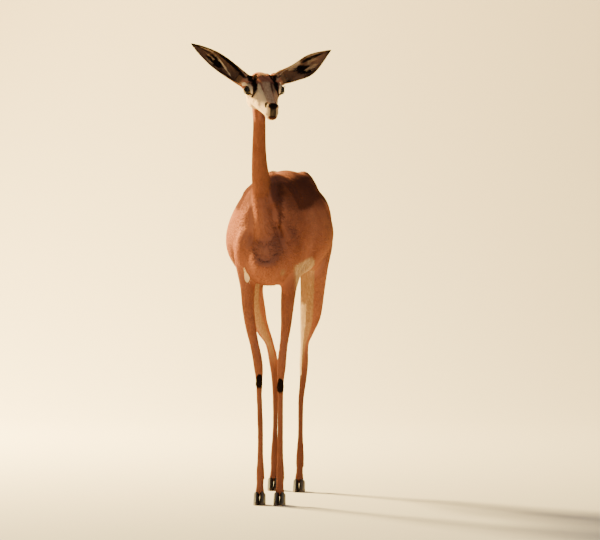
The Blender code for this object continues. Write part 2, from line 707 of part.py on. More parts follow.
def claw(name, foot, half, collection):
    """One pointed half of a cloven hoof, from its sole to above the coronet."""
    x, y = foot
    rows = (
        (0.000, -0.004, 0.0280, 0.0084),
        (0.009, -0.002, 0.0262, 0.0085),
        (0.021, 0.002, 0.0218, 0.0081),
        (0.034, 0.006, 0.0176, 0.0075),
        (0.046, 0.009, 0.0148, 0.0070),
    )
    rings = []
    for height, shift, long, wide in rows:
        ring = []
        for turn in np.linspace(0.0, 2.0 * math.pi, 14, endpoint=False):
            fore = -math.cos(turn)
            taper = 1.0 - 0.42 * max(0.0, -fore) ** 1.5
            ring.append((x + half * 0.0086 + wide * taper * math.sin(turn),
                         y + shift + long * fore, height))
        rings.append(ring)
    made = closed_loft(name, rings, collection)
    point, normal = coronet_plane(foot)
    cut_off(made, point - normal * (GAP / 2.0), normal)
    return made


def coronet_plane(foot):
    """The sloping plane where skin ends and horn begins."""
    return Vector((foot[0], foot[1] + 0.004, HOOF_HEIGHT)), Vector((0.0, 0.46, 0.888)).normalized()


def leg_plane(name, side):
    """The plane where a leg leaves the trunk, rising outwards."""
    if name.startswith("fore"):
        point = Vector((0.0, -0.200, BRISKET_HEIGHT - 0.012))
        normal = Vector((-side * 0.62, 0.28, 1.0))
    else:
        point = Vector((0.0, 0.100, BRISKET_HEIGHT + 0.008))
        normal = Vector((-side * 0.50, -0.45, 1.0))
    return point, normal.normalized()


def middle_joint_plane(name, foot):
    """Just above the knee, or just below the hock, where each leg is parted in two."""
    if name.startswith("fore"):
        return Vector((foot[0], foot[1] + 0.019, 0.424)), Vector((0.0, 0.0, 1.0))
    return Vector((foot[0], foot[1] + 0.060, 0.328)), Vector((0.0, 0.10, 0.995)).normalized()


def neck_plane():
    return Vector((0.0, -0.275, 0.868)), Vector((0.0, -0.576, 0.817)).normalized()


def head_plane():
    """From the nape behind the ears to the throat behind the jaw."""
    return in_head(0.0, -0.020, -0.022), (in_head(0.0, 1.0, 0.62) - in_head(0.0, 0.0, 0.0)).normalized()


def tail_plane():
    return Vector((0.0, 0.380, TAIL_TOP)), Vector((0.0, 1.0, 0.0))


def part_from(whole, name, kind, planes, near, collection):
    """One named part: the thinned whole, cut by planes that each keep half the gap."""
    part = thinned(whole, name, FACES_LEFT[kind], collection)
    for point, normal in planes:
        cut_off(part, point - normal * (GAP / 2.0), normal)
    keep_one_body(part, near)
    return part


def flipped(plane):
    return plane[0], -plane[1]


def build():
    clear_scene()
    parts = collection_named("gerenuk")
    work = collection_named("working_forms")
    fur = coat_material("coat", (0.42, 0.20, 0.09), 0.85)
    dark = coat_material("dark_hair", (0.03, 0.02, 0.015), 0.80)
    horn = coat_material("hoof_horn", (0.05, 0.04, 0.035), 0.45)
    gloss = coat_material("eye_surface", (0.015, 0.010, 0.008), 0.08)

    ears = {"left": Ear(1.0), "right": Ear(-1.0)}
    body_forms = trunk_forms(work) + [neck_form(work)] + leg_forms(work) + head_forms(work)
    body = fused(body_forms, "body_whole", BODY_VOXEL, 6, work, broad_above=BRISKET_HEIGHT)

    nodes = {}
    for name, foot in FEET.items():
        side = 1.0 if foot[0] > 0.0 else -1.0
        plane = leg_plane(name, side)
        kind = name.split("_")[0]
        between = (Vector((0.0, 0.0, 0.0)), Vector((-side, 0.0, 0.0)))
        joint = middle_joint_plane(name, foot)
        upper = name + "_upper"
        near = joint[0] + Vector((0.0, 0.0, 0.05))
        nodes[upper] = part_from(body, upper, kind, [plane, between, flipped(joint)], near, parts)
        lower = name + "_lower"
        near = Vector((foot[0], foot[1] + 0.02, 0.06))
        leg = part_from(body, lower, kind, [joint, flipped(coronet_plane(foot))], near, parts)
        if kind == "foreleg":
            brush = knee_brush(foot, side, work)
            leg = boolean(leg, brush, "UNION", lower, parts, solver="MANIFOLD")
            keep_one_body(leg)
        nodes[lower] = leg
        for half, place in ((-side, "inner"), (side, "outer")):
            hoof = name.replace("leg", "hoof") + "_" + place
            nodes[hoof] = claw(hoof, foot, half, parts)

    nodes["neck"] = part_from(body, "neck", "neck", [flipped(neck_plane()), head_plane()],
                              Vector((-0.016, -0.338, 1.005)), parts)

    torso = thinned(body, "torso", FACES_LEFT["torso"], parts)
    point, normal = neck_plane()
    cut_off(torso, point - normal * (GAP / 2.0), normal)
    point, normal = tail_plane()
    cut_off(torso, point - normal * (GAP / 2.0), normal)
    wedges = []
    for name, foot in FEET.items():
        side = 1.0 if foot[0] > 0.0 else -1.0
        wedges.append(leg_wedge(name, side, work))
    torso = boolean(torso, wedges, "DIFFERENCE", "torso", parts)
    keep_one_body(torso)
    nodes["torso"] = torso

    head_pieces = head_forms(work) + [neck_form(work, upper_only=True)]
    for ear in ears.values():
        head_pieces += ear.stub(work)
    head_whole = fused(head_pieces, "head_whole", HEAD_VOXEL, 5, work)
    head = part_from(head_whole, "head", "head", [flipped(head_plane())],
                     in_head(0.0, 0.20, 0.0), parts)
    for ear in ears.values():
        point, normal = ear.root_plane()
        cut_off(head, point - normal * (GAP / 2.0), normal)
    keep_one_body(head)
    hollows = [lid_opening(side, work) for side in (-1.0, 1.0)]
    hollows += [eye_ball("socket", side, EYE_RADIUS + GAP, work) for side in (-1.0, 1.0)]
    hollows += [nostril_cutter(side, work) for side in (-1.0, 1.0)]
    hollows.append(mouth_cutter(head, work))
    head = boolean(head, hollows, "DIFFERENCE", "head", parts)
    keep_one_body(head)
    nodes["head"] = head

    for label, ear in ears.items():
        leaf = ear.leaf("ear_" + label, parts)
        point, normal = ear.root_plane()
        cut_off(leaf, point + normal * (GAP / 2.0), -normal)
        keep_one_body(leaf)
        nodes["ear_" + label] = leaf
        nodes["eye_" + label] = eye_ball("eye_" + label, ear.side, EYE_RADIUS, parts)

    tail = tail_forms(work)
    tail = applied(tail, "tail", parts)
    point, normal = tail_plane()
    cut_off(tail, point + normal * (GAP / 2.0), -normal)
    tail = boolean(tail, tail_tuft(work), "UNION", "tail", parts, solver="MANIFOLD")
    keep_one_body(tail)
    nodes["tail"] = tail

    for name, node in nodes.items():
        node.data.materials.clear()
        if name.startswith("eye"):
            node.data.materials.append(gloss)
        elif "hoof" in name:
            node.data.materials.append(horn)
        elif name.startswith("tail"):
            node.data.materials.append(dark)
        else:
            node.data.materials.append(fur)
        node.data.shade_smooth()
        node.data.set_sharp_from_angle(angle=math.radians(50))

    for item in list(work.objects):
        bpy.data.objects.remove(item, do_unlink=True)
    centre_on_origin(list(nodes.values()))


def leg_wedge(name, side, collection):
    """A block with upright walls under a leg's plane, which takes the leg off the torso."""
    point, normal = leg_plane(name, side)
    front, back = (-0.52, -0.02) if name.startswith("fore") else (-0.01, 0.52)
    bm = bmesh.new()
    bmesh.ops.create_cube(bm, size=2.0)
    for corner in bm.verts:
        upper = corner.co.z > 0.0
        x = side * 0.30 if corner.co.x * side > 0.0 else -side * 0.001
        y = back if corner.co.y > 0.0 else front
        on_plane = point.z - ((x - point.x) * normal.x + (y - point.y) * normal.y) / normal.z
        corner.co = (x, y, on_plane + GAP / 2.0 if upper else -0.10)
    bmesh.ops.recalc_face_normals(bm, faces=bm.faces[:])
    return add_from_bmesh(name + "_wedge", bm, collection)


def centre_on_origin(items):
    """Moves the whole model so that its box stands centred on the origin."""
    points = [item.matrix_world @ v.co for item in items for v in item.data.vertices]
    low = [min(p[i] for p in points) for i in range(3)]
    high = [max(p[i] for p in points) for i in range(3)]
    shift = Vector((-(low[0] + high[0]) / 2.0, -(low[1] + high[1]) / 2.0, -low[2]))
    for item in items:
        item.data.transform(Matrix.Translation(shift))


build()
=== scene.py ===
# A standing female gerenuk at life size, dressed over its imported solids.
# Metres, +Z up. The animal faces -Y, and its own left side is +X.
import json
import math

import bmesh
import bpy
import numpy as np
from mathutils import Matrix, Vector
from mathutils.bvhtree import BVHTree

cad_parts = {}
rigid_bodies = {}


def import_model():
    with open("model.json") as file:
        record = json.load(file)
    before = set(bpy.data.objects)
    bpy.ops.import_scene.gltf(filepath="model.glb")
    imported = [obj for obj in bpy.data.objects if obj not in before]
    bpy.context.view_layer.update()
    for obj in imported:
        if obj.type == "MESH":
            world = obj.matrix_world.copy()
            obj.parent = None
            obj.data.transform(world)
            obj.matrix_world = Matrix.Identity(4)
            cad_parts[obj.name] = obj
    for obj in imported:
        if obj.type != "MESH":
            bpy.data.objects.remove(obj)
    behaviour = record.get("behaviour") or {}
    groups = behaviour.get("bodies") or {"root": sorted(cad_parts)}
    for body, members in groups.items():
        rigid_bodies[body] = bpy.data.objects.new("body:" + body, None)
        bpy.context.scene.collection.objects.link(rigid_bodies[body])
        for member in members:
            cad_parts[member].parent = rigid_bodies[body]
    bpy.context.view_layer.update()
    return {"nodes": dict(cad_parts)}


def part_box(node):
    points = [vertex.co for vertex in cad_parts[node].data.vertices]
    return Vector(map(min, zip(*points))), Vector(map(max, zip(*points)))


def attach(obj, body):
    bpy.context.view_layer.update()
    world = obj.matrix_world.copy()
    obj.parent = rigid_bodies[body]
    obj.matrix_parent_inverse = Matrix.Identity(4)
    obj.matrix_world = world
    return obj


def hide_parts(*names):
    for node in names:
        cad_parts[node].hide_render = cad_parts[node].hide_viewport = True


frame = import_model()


# ---- Floor, light and camera
# A pale sheet runs under the animal and up behind it. One large golden lamp stands behind it
# on the image's left, as the low sun does in the photograph, and two broad dim ones fill the
# shade. The camera is far off and looks down by three degrees.

def to_linear(red, green, blue):
    """A colour as seen on a screen, 0 to 255, turned to light values."""
    return tuple(v / 12.92 if v <= 0.04045 else ((v + 0.055) / 1.055) ** 2.4
                 for v in (red / 255.0, green / 255.0, blue / 255.0))


scene = bpy.context.scene


def put_in(name, data):
    """An object of this name and data, linked into the scene."""
    made = bpy.data.objects.new(name, data)
    scene.collection.objects.link(made)
    return made


def add_mesh(name, vertices, faces):
    """A smooth mesh object from arrays of points and of triangles or quads."""
    mesh = bpy.data.meshes.new(name)
    points = np.asarray(vertices, np.float32).reshape(-1, 3)
    corners = np.asarray(faces, np.int32)
    mesh.vertices.add(len(points))
    mesh.vertices.foreach_set("co", points.ravel())
    mesh.loops.add(corners.size)
    mesh.loops.foreach_set("vertex_index", corners.ravel())
    mesh.polygons.add(len(corners))
    starts = np.arange(0, corners.size, corners.shape[1], dtype=np.int32)
    mesh.polygons.foreach_set("loop_start", starts)
    mesh.update(calc_edges=True)
    mesh.shade_smooth()
    return put_in(name, mesh)


FLOOR_FRONT = -9.0
FLOOR_HALF_WIDTH = 12.0
SWEEP_START = 3.0
SWEEP_RADIUS = 1.4
SWEEP_LIP = 0.05
sweep = [(FLOOR_FRONT, 0.0), (0.0, 0.0), (SWEEP_START, 0.0)]
sweep += [(SWEEP_START + SWEEP_RADIUS * math.sin(a), SWEEP_RADIUS * (1.0 - math.cos(a)))
          for a in np.linspace(0.12, math.pi / 2.0, 12)]
sweep.append((SWEEP_START + SWEEP_RADIUS, SWEEP_RADIUS + SWEEP_LIP))
floor_points = [(x, y, z) for y, z in sweep for x in (-FLOOR_HALF_WIDTH, FLOOR_HALF_WIDTH)]
floor_faces = [(2 * i, 2 * i + 1, 2 * i + 3, 2 * i + 2) for i in range(len(sweep) - 1)]
floor = add_mesh("studio_floor", floor_points, floor_faces)
floor_paint = bpy.data.materials.new("studio_paper")
floor_paint.use_nodes = True
floor_shader = floor_paint.node_tree.nodes["Principled BSDF"]
floor_shader.inputs["Base Color"].default_value = (*to_linear(228, 214, 194), 1.0)
floor_shader.inputs["Roughness"].default_value = 0.9
floor.data.materials.append(floor_paint)

CAMERA_TURN = math.radians(5.5)
CAMERA_RISE = math.radians(3.0)
CAMERA_FAR = 25.0
SENSOR_WIDTH = 36.0
IMAGE_WIDTH, IMAGE_HEIGHT = 600.0, 540.0
METRES_PER_PIXEL = 0.00276
FORE_FEET_PIXEL = (269.5, 505.0)


def lamp(name, place, aim, size, power, colour):
    """A round lamp that faces the place aimed at."""
    light = bpy.data.lights.new(name, "AREA")
    light.shape = "DISK"
    light.size = size
    light.energy = power
    light.color = colour
    made = put_in(name, light)
    made.location = place
    made.rotation_mode = "QUATERNION"
    made.rotation_quaternion = (Vector(aim) - Vector(place)).to_track_quat("-Z", "Y")


CHEST = (0.0, 0.0, 0.75)
lamp("sun_side", (-2.8, 2.9, 2.4), CHEST, 0.9, 1650.0, (1.0, 0.80, 0.36))
lamp("front_fill", (-1.6, -4.5, 2.2), CHEST, 3.0, 36.0, (1.0, 0.98, 0.96))
lamp("right_fill", (3.5, -1.5, 2.0), CHEST, 3.0, 24.0, (0.97, 0.98, 1.0))
world = bpy.data.worlds.new("studio_air")
world.use_nodes = True
world.node_tree.nodes["Background"].inputs[0].default_value = (1.0, 0.985, 0.96, 1.0)
world.node_tree.nodes["Background"].inputs[1].default_value = 0.25
scene.world = world

fore_hooves = [o for n, o in frame["nodes"].items() if n.startswith("forehoof")]
hoof_points = np.array([v.co for o in fore_hooves for v in o.data.vertices])
anchor = Vector((hoof_points[:, 0].mean(), hoof_points[:, 1].mean(), 0.0))
right_way = Vector((math.cos(CAMERA_TURN), math.sin(CAMERA_TURN), 0.0))
back_way = Vector((math.sin(CAMERA_TURN) * math.cos(CAMERA_RISE),
                   -math.cos(CAMERA_TURN) * math.cos(CAMERA_RISE), math.sin(CAMERA_RISE)))
up_way = back_way.cross(right_way)
look = (anchor + right_way * ((IMAGE_WIDTH / 2.0 - FORE_FEET_PIXEL[0]) * METRES_PER_PIXEL)
        + up_way * ((FORE_FEET_PIXEL[1] - IMAGE_HEIGHT / 2.0) * METRES_PER_PIXEL))
camera = put_in("camera", bpy.data.cameras.new("camera"))
camera.data.sensor_width = SENSOR_WIDTH
camera.data.lens = SENSOR_WIDTH * CAMERA_FAR / (IMAGE_WIDTH * METRES_PER_PIXEL)
camera.data.clip_end = 100.0
camera.location = look + back_way * CAMERA_FAR
camera.rotation_mode = "QUATERNION"
camera.rotation_quaternion = (-back_way).to_track_quat("-Z", "Y")
scene.camera = camera


# ---- The hide
# One unbroken skin from the muzzle to the hooves. It is built from muscle and bone forms
# fused together, eased where they flow into each other, and drawn in by the depth of the
# coat. Eye sockets, lids, nostrils and the line of the mouth are cut in it.

WITHERS_HEIGHT = 0.915
CROUP_HEIGHT = 0.911
BRISKET_HEIGHT = 0.600
NECK_FRONT_TOP = 0.960
BREAST_Y = -0.342
RUMP_Y = 0.372
BARREL_HALF_WIDTH = 0.141
RUMP_SWAY = 0.010
POLL_PLACE = Vector((-0.0148, -0.3925, 1.160))
HEAD_YAW = math.radians(17.2)
HEAD_PITCH = math.radians(17.5)
EYE_RADIUS = 0.0135
EYE_PLACE = (0.0425, 0.080, 0.0170)
LID_RADIUS = 0.0156
EAR_LENGTHS = {1.0: 0.187, -1.0: 0.178}
EAR_HALF_WIDTH = 0.0265
MOUTH_HEIGHT = -0.0115
TAIL_LENGTH = 0.27
TAIL_TOP = 0.862
HIDE_VOXEL = 0.0021
HIDE_TRIANGLES = 170000
FEET = {
    "foreleg_left": (0.0305, -0.262),
    "foreleg_right": (-0.0255, -0.256),
    "hindleg_left": (0.0380, 0.222),
    "hindleg_right": (-0.0390, 0.272),
}


def head_turn():
    """From the head's own axes (side, forward, up) to the model's, without its place."""
    turn = Matrix.Rotation(HEAD_YAW, 4, "Z") @ Matrix.Rotation(HEAD_PITCH, 4, "X")
    return turn @ Matrix.Diagonal((1.0, -1.0, 1.0, 1.0))


eye_boxes = [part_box("eye_left"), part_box("eye_right")]
between_eyes = sum((low + high for low, high in eye_boxes), Vector()) / 4.0
poll = between_eyes - head_turn() @ Vector((0.0, EYE_PLACE[1], EYE_PLACE[2]))
MOVED = poll - POLL_PLACE
HEAD = Matrix.Translation(poll) @ head_turn()


def in_head(side, forward, up):
    return HEAD @ Vector((side, forward, up))


def smooth_rows(rows, count):
    """Rows of numbers joined by a smooth curve, read at even steps."""
    table = np.array(rows, dtype=float)
    steps = np.linspace(0.0, len(table) - 1.0, count)
    slopes = np.gradient(table, axis=0)
    first = np.minimum(steps.astype(int), len(table) - 2)
    t = (steps - first)[:, None]
    blend = 3.0 * t**2 - 2.0 * t**3
    curved = (t**3 - 2.0 * t**2 + t) * slopes[first] + (t**3 - t**2) * slopes[first + 1]
    return (1.0 - blend) * table[first] + blend * table[first + 1] + curved


flesh = []


def mesh_of(bm, name):
    """Writes a bmesh out as a mesh, with all faces outward, and frees it."""
    bmesh.ops.recalc_face_normals(bm, faces=bm.faces[:])
    mesh = bpy.data.meshes.new(name)
    bm.to_mesh(mesh)
    bm.free()
    return mesh


def ball_of(matrix, segments, rings, radius=1.0):
    """A ball, stretched and placed by a matrix."""
    bm = bmesh.new()
    bmesh.ops.create_uvsphere(bm, u_segments=segments, v_segments=rings, radius=radius)
    bmesh.ops.transform(bm, matrix=matrix, verts=bm.verts[:])
    return bm


def loft(rings):
    """Closed skin over rings of points, ends capped."""
    bm = bmesh.new()
    loops = [[bm.verts.new(point) for point in ring] for ring in rings]
    sides = len(loops[0])
    for lower, upper in zip(loops, loops[1:]):
        for i in range(sides):
            j = (i + 1) % sides
            bm.faces.new((lower[i], lower[j], upper[j], upper[i]))
    bm.faces.new(loops[0][::-1])
    bm.faces.new(loops[-1])
    return bm


def limb_rings(rows, rings, sides):
    """Rings along a path. A row is x, y, z, half width, half depth and how much narrower
    the back or top side is than the other."""
    path = smooth_rows(rows, rings)
    centres = path[:, :3]
    heading = np.gradient(centres, axis=0)
    heading /= np.linalg.norm(heading, axis=1)[:, None]
    across = np.array((1.0, 0.0, 0.0)) - heading * heading[:, :1]
    across /= np.linalg.norm(across, axis=1)[:, None]
    upward = np.cross(across, heading)
    turns = np.linspace(0.0, 2.0 * math.pi, sides, endpoint=False)
    made = []
    for i in range(rings):
        narrow = 1.0 - path[i, 5] * np.sin(turns)
        wide = (path[i, 3] * narrow * np.cos(turns))[:, None] * across[i]
        deep = (path[i, 4] * np.sin(turns))[:, None] * upward[i]
        made.append(centres[i] + wide + deep)
    return made


def limb(rows, rings=64, sides=36, place=None):
    """A lofted form of the flesh, in the model's axes or in those given."""
    bm = loft(limb_rings(rows, rings, sides))
    bmesh.ops.transform(bm, matrix=place or Matrix.Translation(MOVED), verts=bm.verts[:])
    flesh.append(mesh_of(bm, "form"))


def muscle(centre, radii, tilt=0.0, place=None):
    """A muscle or bone form: a ball stretched, tipped about X and placed."""
    shape = Matrix.Translation(centre) @ Matrix.Rotation(math.radians(tilt), 4, "X")
    shape = shape @ Matrix.Diagonal((*radii, 1.0))
    flesh.append(mesh_of(ball_of((place or Matrix.Translation(MOVED)) @ shape, 32, 20), "form"))


def sway_at(y):
    """How far the hindquarters stand over to the animal's left."""
    share = min(1.0, max(0.0, (y + 0.10) / 0.40))
    return RUMP_SWAY * share * share * (3.0 - 2.0 * share)


# Trunk: y, top, bottom, half width, top narrowing
BARREL = (
    (BREAST_Y, 0.742, 0.704, 0.014, 0.00),
    (BREAST_Y + 0.008, 0.770, 0.668, 0.034, 0.00),
    (BREAST_Y + 0.030, 0.798, 0.616, 0.058, 0.06),
    (-0.262, 0.846, BRISKET_HEIGHT - 0.006, 0.090, 0.20),
    (-0.200, WITHERS_HEIGHT - 0.004, BRISKET_HEIGHT + 0.001, 0.110, 0.25),
    (-0.120, WITHERS_HEIGHT - 0.002, BRISKET_HEIGHT + 0.008, 0.129, 0.28),
    (-0.020, WITHERS_HEIGHT - 0.009, BRISKET_HEIGHT + 0.016, 0.139, 0.30),
    (0.080, CROUP_HEIGHT - 0.004, BRISKET_HEIGHT + 0.032, BARREL_HALF_WIDTH, 0.29),
    (0.165, CROUP_HEIGHT, BRISKET_HEIGHT + 0.055, 0.122, 0.22),
    (0.240, CROUP_HEIGHT - 0.008, BRISKET_HEIGHT + 0.080, 0.105, 0.20),
    (0.305, CROUP_HEIGHT - 0.030, BRISKET_HEIGHT + 0.095, 0.088, 0.18),
    (0.350, CROUP_HEIGHT - 0.064, BRISKET_HEIGHT + 0.120, 0.062, 0.06),
    (RUMP_Y, CROUP_HEIGHT - 0.105, BRISKET_HEIGHT + 0.170, 0.024, 0.00),
)
limb([(sway_at(y), y, (top + low) / 2.0, half, (top - low) / 2.0, narrow)
      for y, top, low, half, narrow in BARREL], rings=96, sides=64)
for side in (-1.0, 1.0):
    muscle((side * 0.056, -0.190, 0.775), (0.040, 0.066, 0.110), -18)
    muscle((side * 0.060, -0.258, 0.705), (0.034, 0.048, 0.072), 24)
    muscle((sway_at(0.25) + side * 0.062, 0.250, 0.752), (0.057, 0.098, 0.100), -18)
    muscle((sway_at(0.17) + side * 0.038, 0.172, 0.853), (0.041, 0.105, 0.048))
    muscle((RUMP_SWAY + side * 0.058, 0.284, 0.712), (0.045, 0.060, 0.112), -22)
    muscle((sway_at(0.12) + side * 0.082, 0.120, 0.690), (0.030, 0.080, 0.060), -35)
muscle((RUMP_SWAY, 0.340, 0.855), (0.017, 0.062, 0.021))
muscle((RUMP_SWAY, 0.280, 0.745), (0.052, 0.062, 0.095), -12)

# Neck
limb((
    (-0.002, -0.205, 0.690, 0.066, 0.110, 0.0),
    (-0.003, -0.235, 0.750, 0.053, 0.104, 0.0),
    (-0.009, -0.262, 0.815, 0.0390, 0.086, 0.0),
    (-0.016, -0.286, 0.878, 0.0285, 0.060, 0.0),
    (-0.0198, -0.312, 0.940, 0.0230, 0.0425, 0.0),
    (-0.0183, -0.338, 1.000, 0.0205, 0.0325, 0.0),
    (-0.0155, -0.359, 1.056, 0.0192, 0.0302, 0.0),
    (-0.0145, -0.378, 1.112, 0.0205, 0.0310, 0.0),
    (POLL_PLACE.x, POLL_PLACE.y, POLL_PLACE.z - 0.004, 0.0220, 0.0300, 0.0),
))


def leg_rows(foot, side, upper, lower):
    """A leg from the trunk to the sole. An upper row is y, z, half depth, then the inner
    and outer edges of the left leg and of the right, which stand differently."""
    rows = []
    for back, height, deep, *edges in upper:
        inner, outer = edges[:2] if side > 0.0 else edges[2:]
        middle, half = (inner + outer) / 2.0, (outer - inner) / 2.0
        rows.append((side * middle, back, height, half, deep, 0.0))
    for behind, height, half, deep in lower:
        rows.append((foot[0], foot[1] + behind, height, half, deep, 0.0))
    return rows


def foreleg_rows(foot, side):
    y = foot[1]
    return leg_rows(foot, side, (
        (-0.222, 0.760, 0.058, 0.0360, 0.0960, 0.0360, 0.0960),
        (-0.226, 0.700, 0.056, 0.0310, 0.0990, 0.0330, 0.1010),
        (-0.212, 0.640, 0.047, 0.0275, 0.0865, 0.0345, 0.0935),
        (-0.216, 0.595, 0.036, 0.0285, 0.0745, 0.0410, 0.0840),
        (-0.226, 0.545, 0.0265, 0.0293, 0.0677, 0.0420, 0.0780),
        (-0.234, 0.490, 0.0208, 0.0300, 0.0610, 0.0360, 0.0680),
        (y + 0.021, 0.446, 0.0170, 0.0273, 0.0537, 0.0280, 0.0570),
        (y + 0.016, 0.408, 0.0190, 0.0227, 0.0503, 0.0192, 0.0488),
        (y + 0.016, 0.378, 0.0186, 0.0198, 0.0482, 0.0155, 0.0445),
        (y + 0.021, 0.345, 0.0152, 0.0199, 0.0431, 0.0169, 0.0401),
        (y + 0.022, 0.300, 0.0132, 0.0212, 0.0408, 0.0187, 0.0383),
    ), (
        (0.022, 0.215, 0.0099, 0.0130),
        (0.022, 0.135, 0.0102, 0.0134),
        (0.023, 0.090, 0.0132, 0.0160),
        (0.013, 0.056, 0.0120, 0.0134),
        (0.005, 0.030, 0.0150, 0.0168),
        (0.001, 0.008, 0.0138, 0.0156),
    ))


def hindleg_rows(foot, side):
    y = foot[1]
    return leg_rows(foot, side, (
        (0.222, 0.886, 0.034, 0.0150, 0.0560, 0.0010, 0.0480),
        (0.228, 0.874, 0.048, 0.0150, 0.0730, 0.0010, 0.0645),
        (0.236, 0.850, 0.064, 0.0150, 0.0885, 0.0010, 0.0790),
        (0.240, 0.800, 0.084, 0.0170, 0.1095, 0.0010, 0.0950),
        (0.228, 0.720, 0.090, 0.0260, 0.1340, 0.0210, 0.1220),
        (0.200, 0.640, 0.074, 0.0400, 0.1240, 0.0450, 0.1240),
        (0.206, 0.570, 0.056, 0.0425, 0.1130, 0.0610, 0.1210),
        (y, 0.500, 0.041, 0.0405, 0.1010, 0.0605, 0.1140),
        (y + 0.018, 0.455, 0.030, 0.0385, 0.0810, 0.0525, 0.0910),
        (y + 0.036, 0.415, 0.0225, 0.0370, 0.0635, 0.0420, 0.0675),
        (y + 0.060, 0.356, 0.0235, 0.0320, 0.0595, 0.0310, 0.0585),
        (y + 0.060, 0.312, 0.0185, 0.0325, 0.0550, 0.0300, 0.0525),
    ), (
        (0.053, 0.250, 0.0096, 0.0150),
        (0.042, 0.165, 0.0090, 0.0138),
        (0.030, 0.095, 0.0132, 0.0162),
        (0.015, 0.058, 0.0120, 0.0134),
        (0.005, 0.030, 0.0150, 0.0168),
        (0.001, 0.008, 0.0138, 0.0156),
    ))


for name, foot in FEET.items():
    side = 1.0 if foot[0] > 0.0 else -1.0
    fore = name.startswith("fore")
    limb(foreleg_rows(foot, side) if fore else hindleg_rows(foot, side), rings=110, sides=28)
    for claw in (-1.0, 1.0):
        heel = foot[1] + (0.038 if fore else 0.044)
        muscle((foot[0] + claw * 0.0085, heel, 0.074), (0.0055, 0.0070, 0.0105), 25)
    if fore:
        muscle((side * 0.066, -0.172, 0.640), (0.0170, 0.0240, 0.0300))
    else:
        muscle((side * 0.0450, foot[1] + 0.083, 0.374), (0.0095, 0.0130, 0.0260), 20)

# Skull: forward, top, bottom, half width, narrowing
SKULL = (
    (-0.026, 0.028, -0.030, 0.0210, 0.0),
    (-0.006, 0.040, -0.040, 0.0300, 0.0),
    (0.022, 0.0485, -0.0470, 0.0385, 0.0),
    (0.052, 0.0520, -0.0480, 0.0430, -0.02),
    (0.082, 0.0480, -0.0440, 0.0420, -0.08),
    (0.110, 0.0390, -0.0390, 0.0340, -0.06),
    (0.140, 0.0300, -0.0350, 0.0250, 0.00),
    (0.170, 0.0245, -0.0325, 0.0203, 0.04),
    (0.194, 0.0215, -0.0310, 0.0188, 0.04),
    (0.207, 0.0165, -0.0275, 0.0162, 0.02),
    (0.215, 0.0080, -0.0180, 0.0100, 0.0),
)
limb([(0.0, f, (top + low) / 2.0, half, (top - low) / 2.0, narrow)
      for f, top, low, half, narrow in SKULL], rings=90, sides=56, place=HEAD)
for side in (-1.0, 1.0):
    for centre, radii in (
        ((side * 0.0350, 0.076, 0.0190), (0.0180, 0.0260, 0.0200)),
        ((side * EYE_PLACE[0], *EYE_PLACE[1:]), (LID_RADIUS, LID_RADIUS, LID_RADIUS)),
        ((side * 0.0350, 0.058, 0.0080), (0.0150, 0.0280, 0.0240)),
        ((side * 0.0265, 0.048, -0.0190), (0.0145, 0.0400, 0.0260)),
        ((side * 0.0385, 0.040, 0.0100), (0.0130, 0.0250, 0.0220)),
        ((side * 0.0235, 0.106, -0.0010), (0.0092, 0.0380, 0.0170)),
        ((side * 0.0095, 0.2005, 0.0115), (0.0098, 0.0130, 0.0105)),
        ((side * 0.0105, 0.1920, -0.0070), (0.0100, 0.0190, 0.0062)),
        ((side * 0.0078, 0.1900, -0.0205), (0.0092, 0.0190, 0.0085)),
        ((side * 0.0125, 0.050, 0.0420), (0.0125, 0.0240, 0.0115)),
    ):
        muscle(centre, radii, place=HEAD)


EAR_STEPS = 400
EAR_ROOT_SPREAD = 148.0


class Ear:
    """One ear: its root, the axis to its tip and the side that its cup opens to."""

    def __init__(self, side):
        self.side = side
        yaw = Matrix.Rotation(HEAD_YAW, 3, "Z")
        reach = Vector((0.142, 0.027, 0.100)) if side < 0 else Vector((0.158, 0.036, 0.078))
        self.axis = (yaw @ Vector((side * reach.x, reach.y, reach.z))).normalized()
        opening = yaw @ Vector((side * 0.20, -1.0, -0.06))
        self.open_way = (opening - self.axis * opening.dot(self.axis)).normalized()
        self.width_way = self.axis.cross(self.open_way).normalized()
        self.root = in_head(side * 0.0400, 0.018, 0.0215)
        self.length = EAR_LENGTHS[side]
        self.sag_way = self.width_way if self.width_way.z < 0.0 else -self.width_way
        if side > 0.0:
            halves = (0.68, 0.73, 0.79, 0.88, 1.00, 1.04, 0.86, 0.50, 0.045)
        else:
            halves = (0.72, 0.74, 0.79, 0.84, 0.84, 0.77, 0.60, 0.37, 0.045)
        spreads = (EAR_ROOT_SPREAD, 126.0, 102.0, 84.0, 72.0, 62.0, 54.0, 48.0, 44.0)
        self.table = smooth_rows(list(zip(halves, spreads)), EAR_STEPS + 1)
        self.sag = 0.0105 if side > 0.0 else -0.0010

    def at(self, share, across, scale=1.0):
        """Places on the leaf: share of its length, and across from edge (-1) to edge (1)."""
        share, across = np.broadcast_arrays(np.asarray(share, float), np.asarray(across, float))
        row = np.clip(np.rint(share * EAR_STEPS), 0, EAR_STEPS).astype(int)
        spread = np.radians(self.table[row, 1])
        half = self.table[row, 0] * EAR_HALF_WIDTH * scale
        radius = half / np.sin(np.minimum(spread, math.pi / 2.0))
        bow = 0.010 * np.sin(math.pi * share)
        sag = self.sag * np.sin(math.pi * np.clip((share - 0.12) / 0.88, 0.0, 1.0))
        axis, open_way, wide = (np.array(v) for v in (self.axis, self.open_way, self.width_way))
        turn = spread * across
        out = radius * (1.0 - np.cos(turn)) - bow - radius * 0.55
        return (np.array(self.root) + (self.length * share)[..., None] * axis
                + sag[..., None] * np.array(self.sag_way)
                + (radius * np.sin(turn))[..., None] * wide + out[..., None] * open_way)


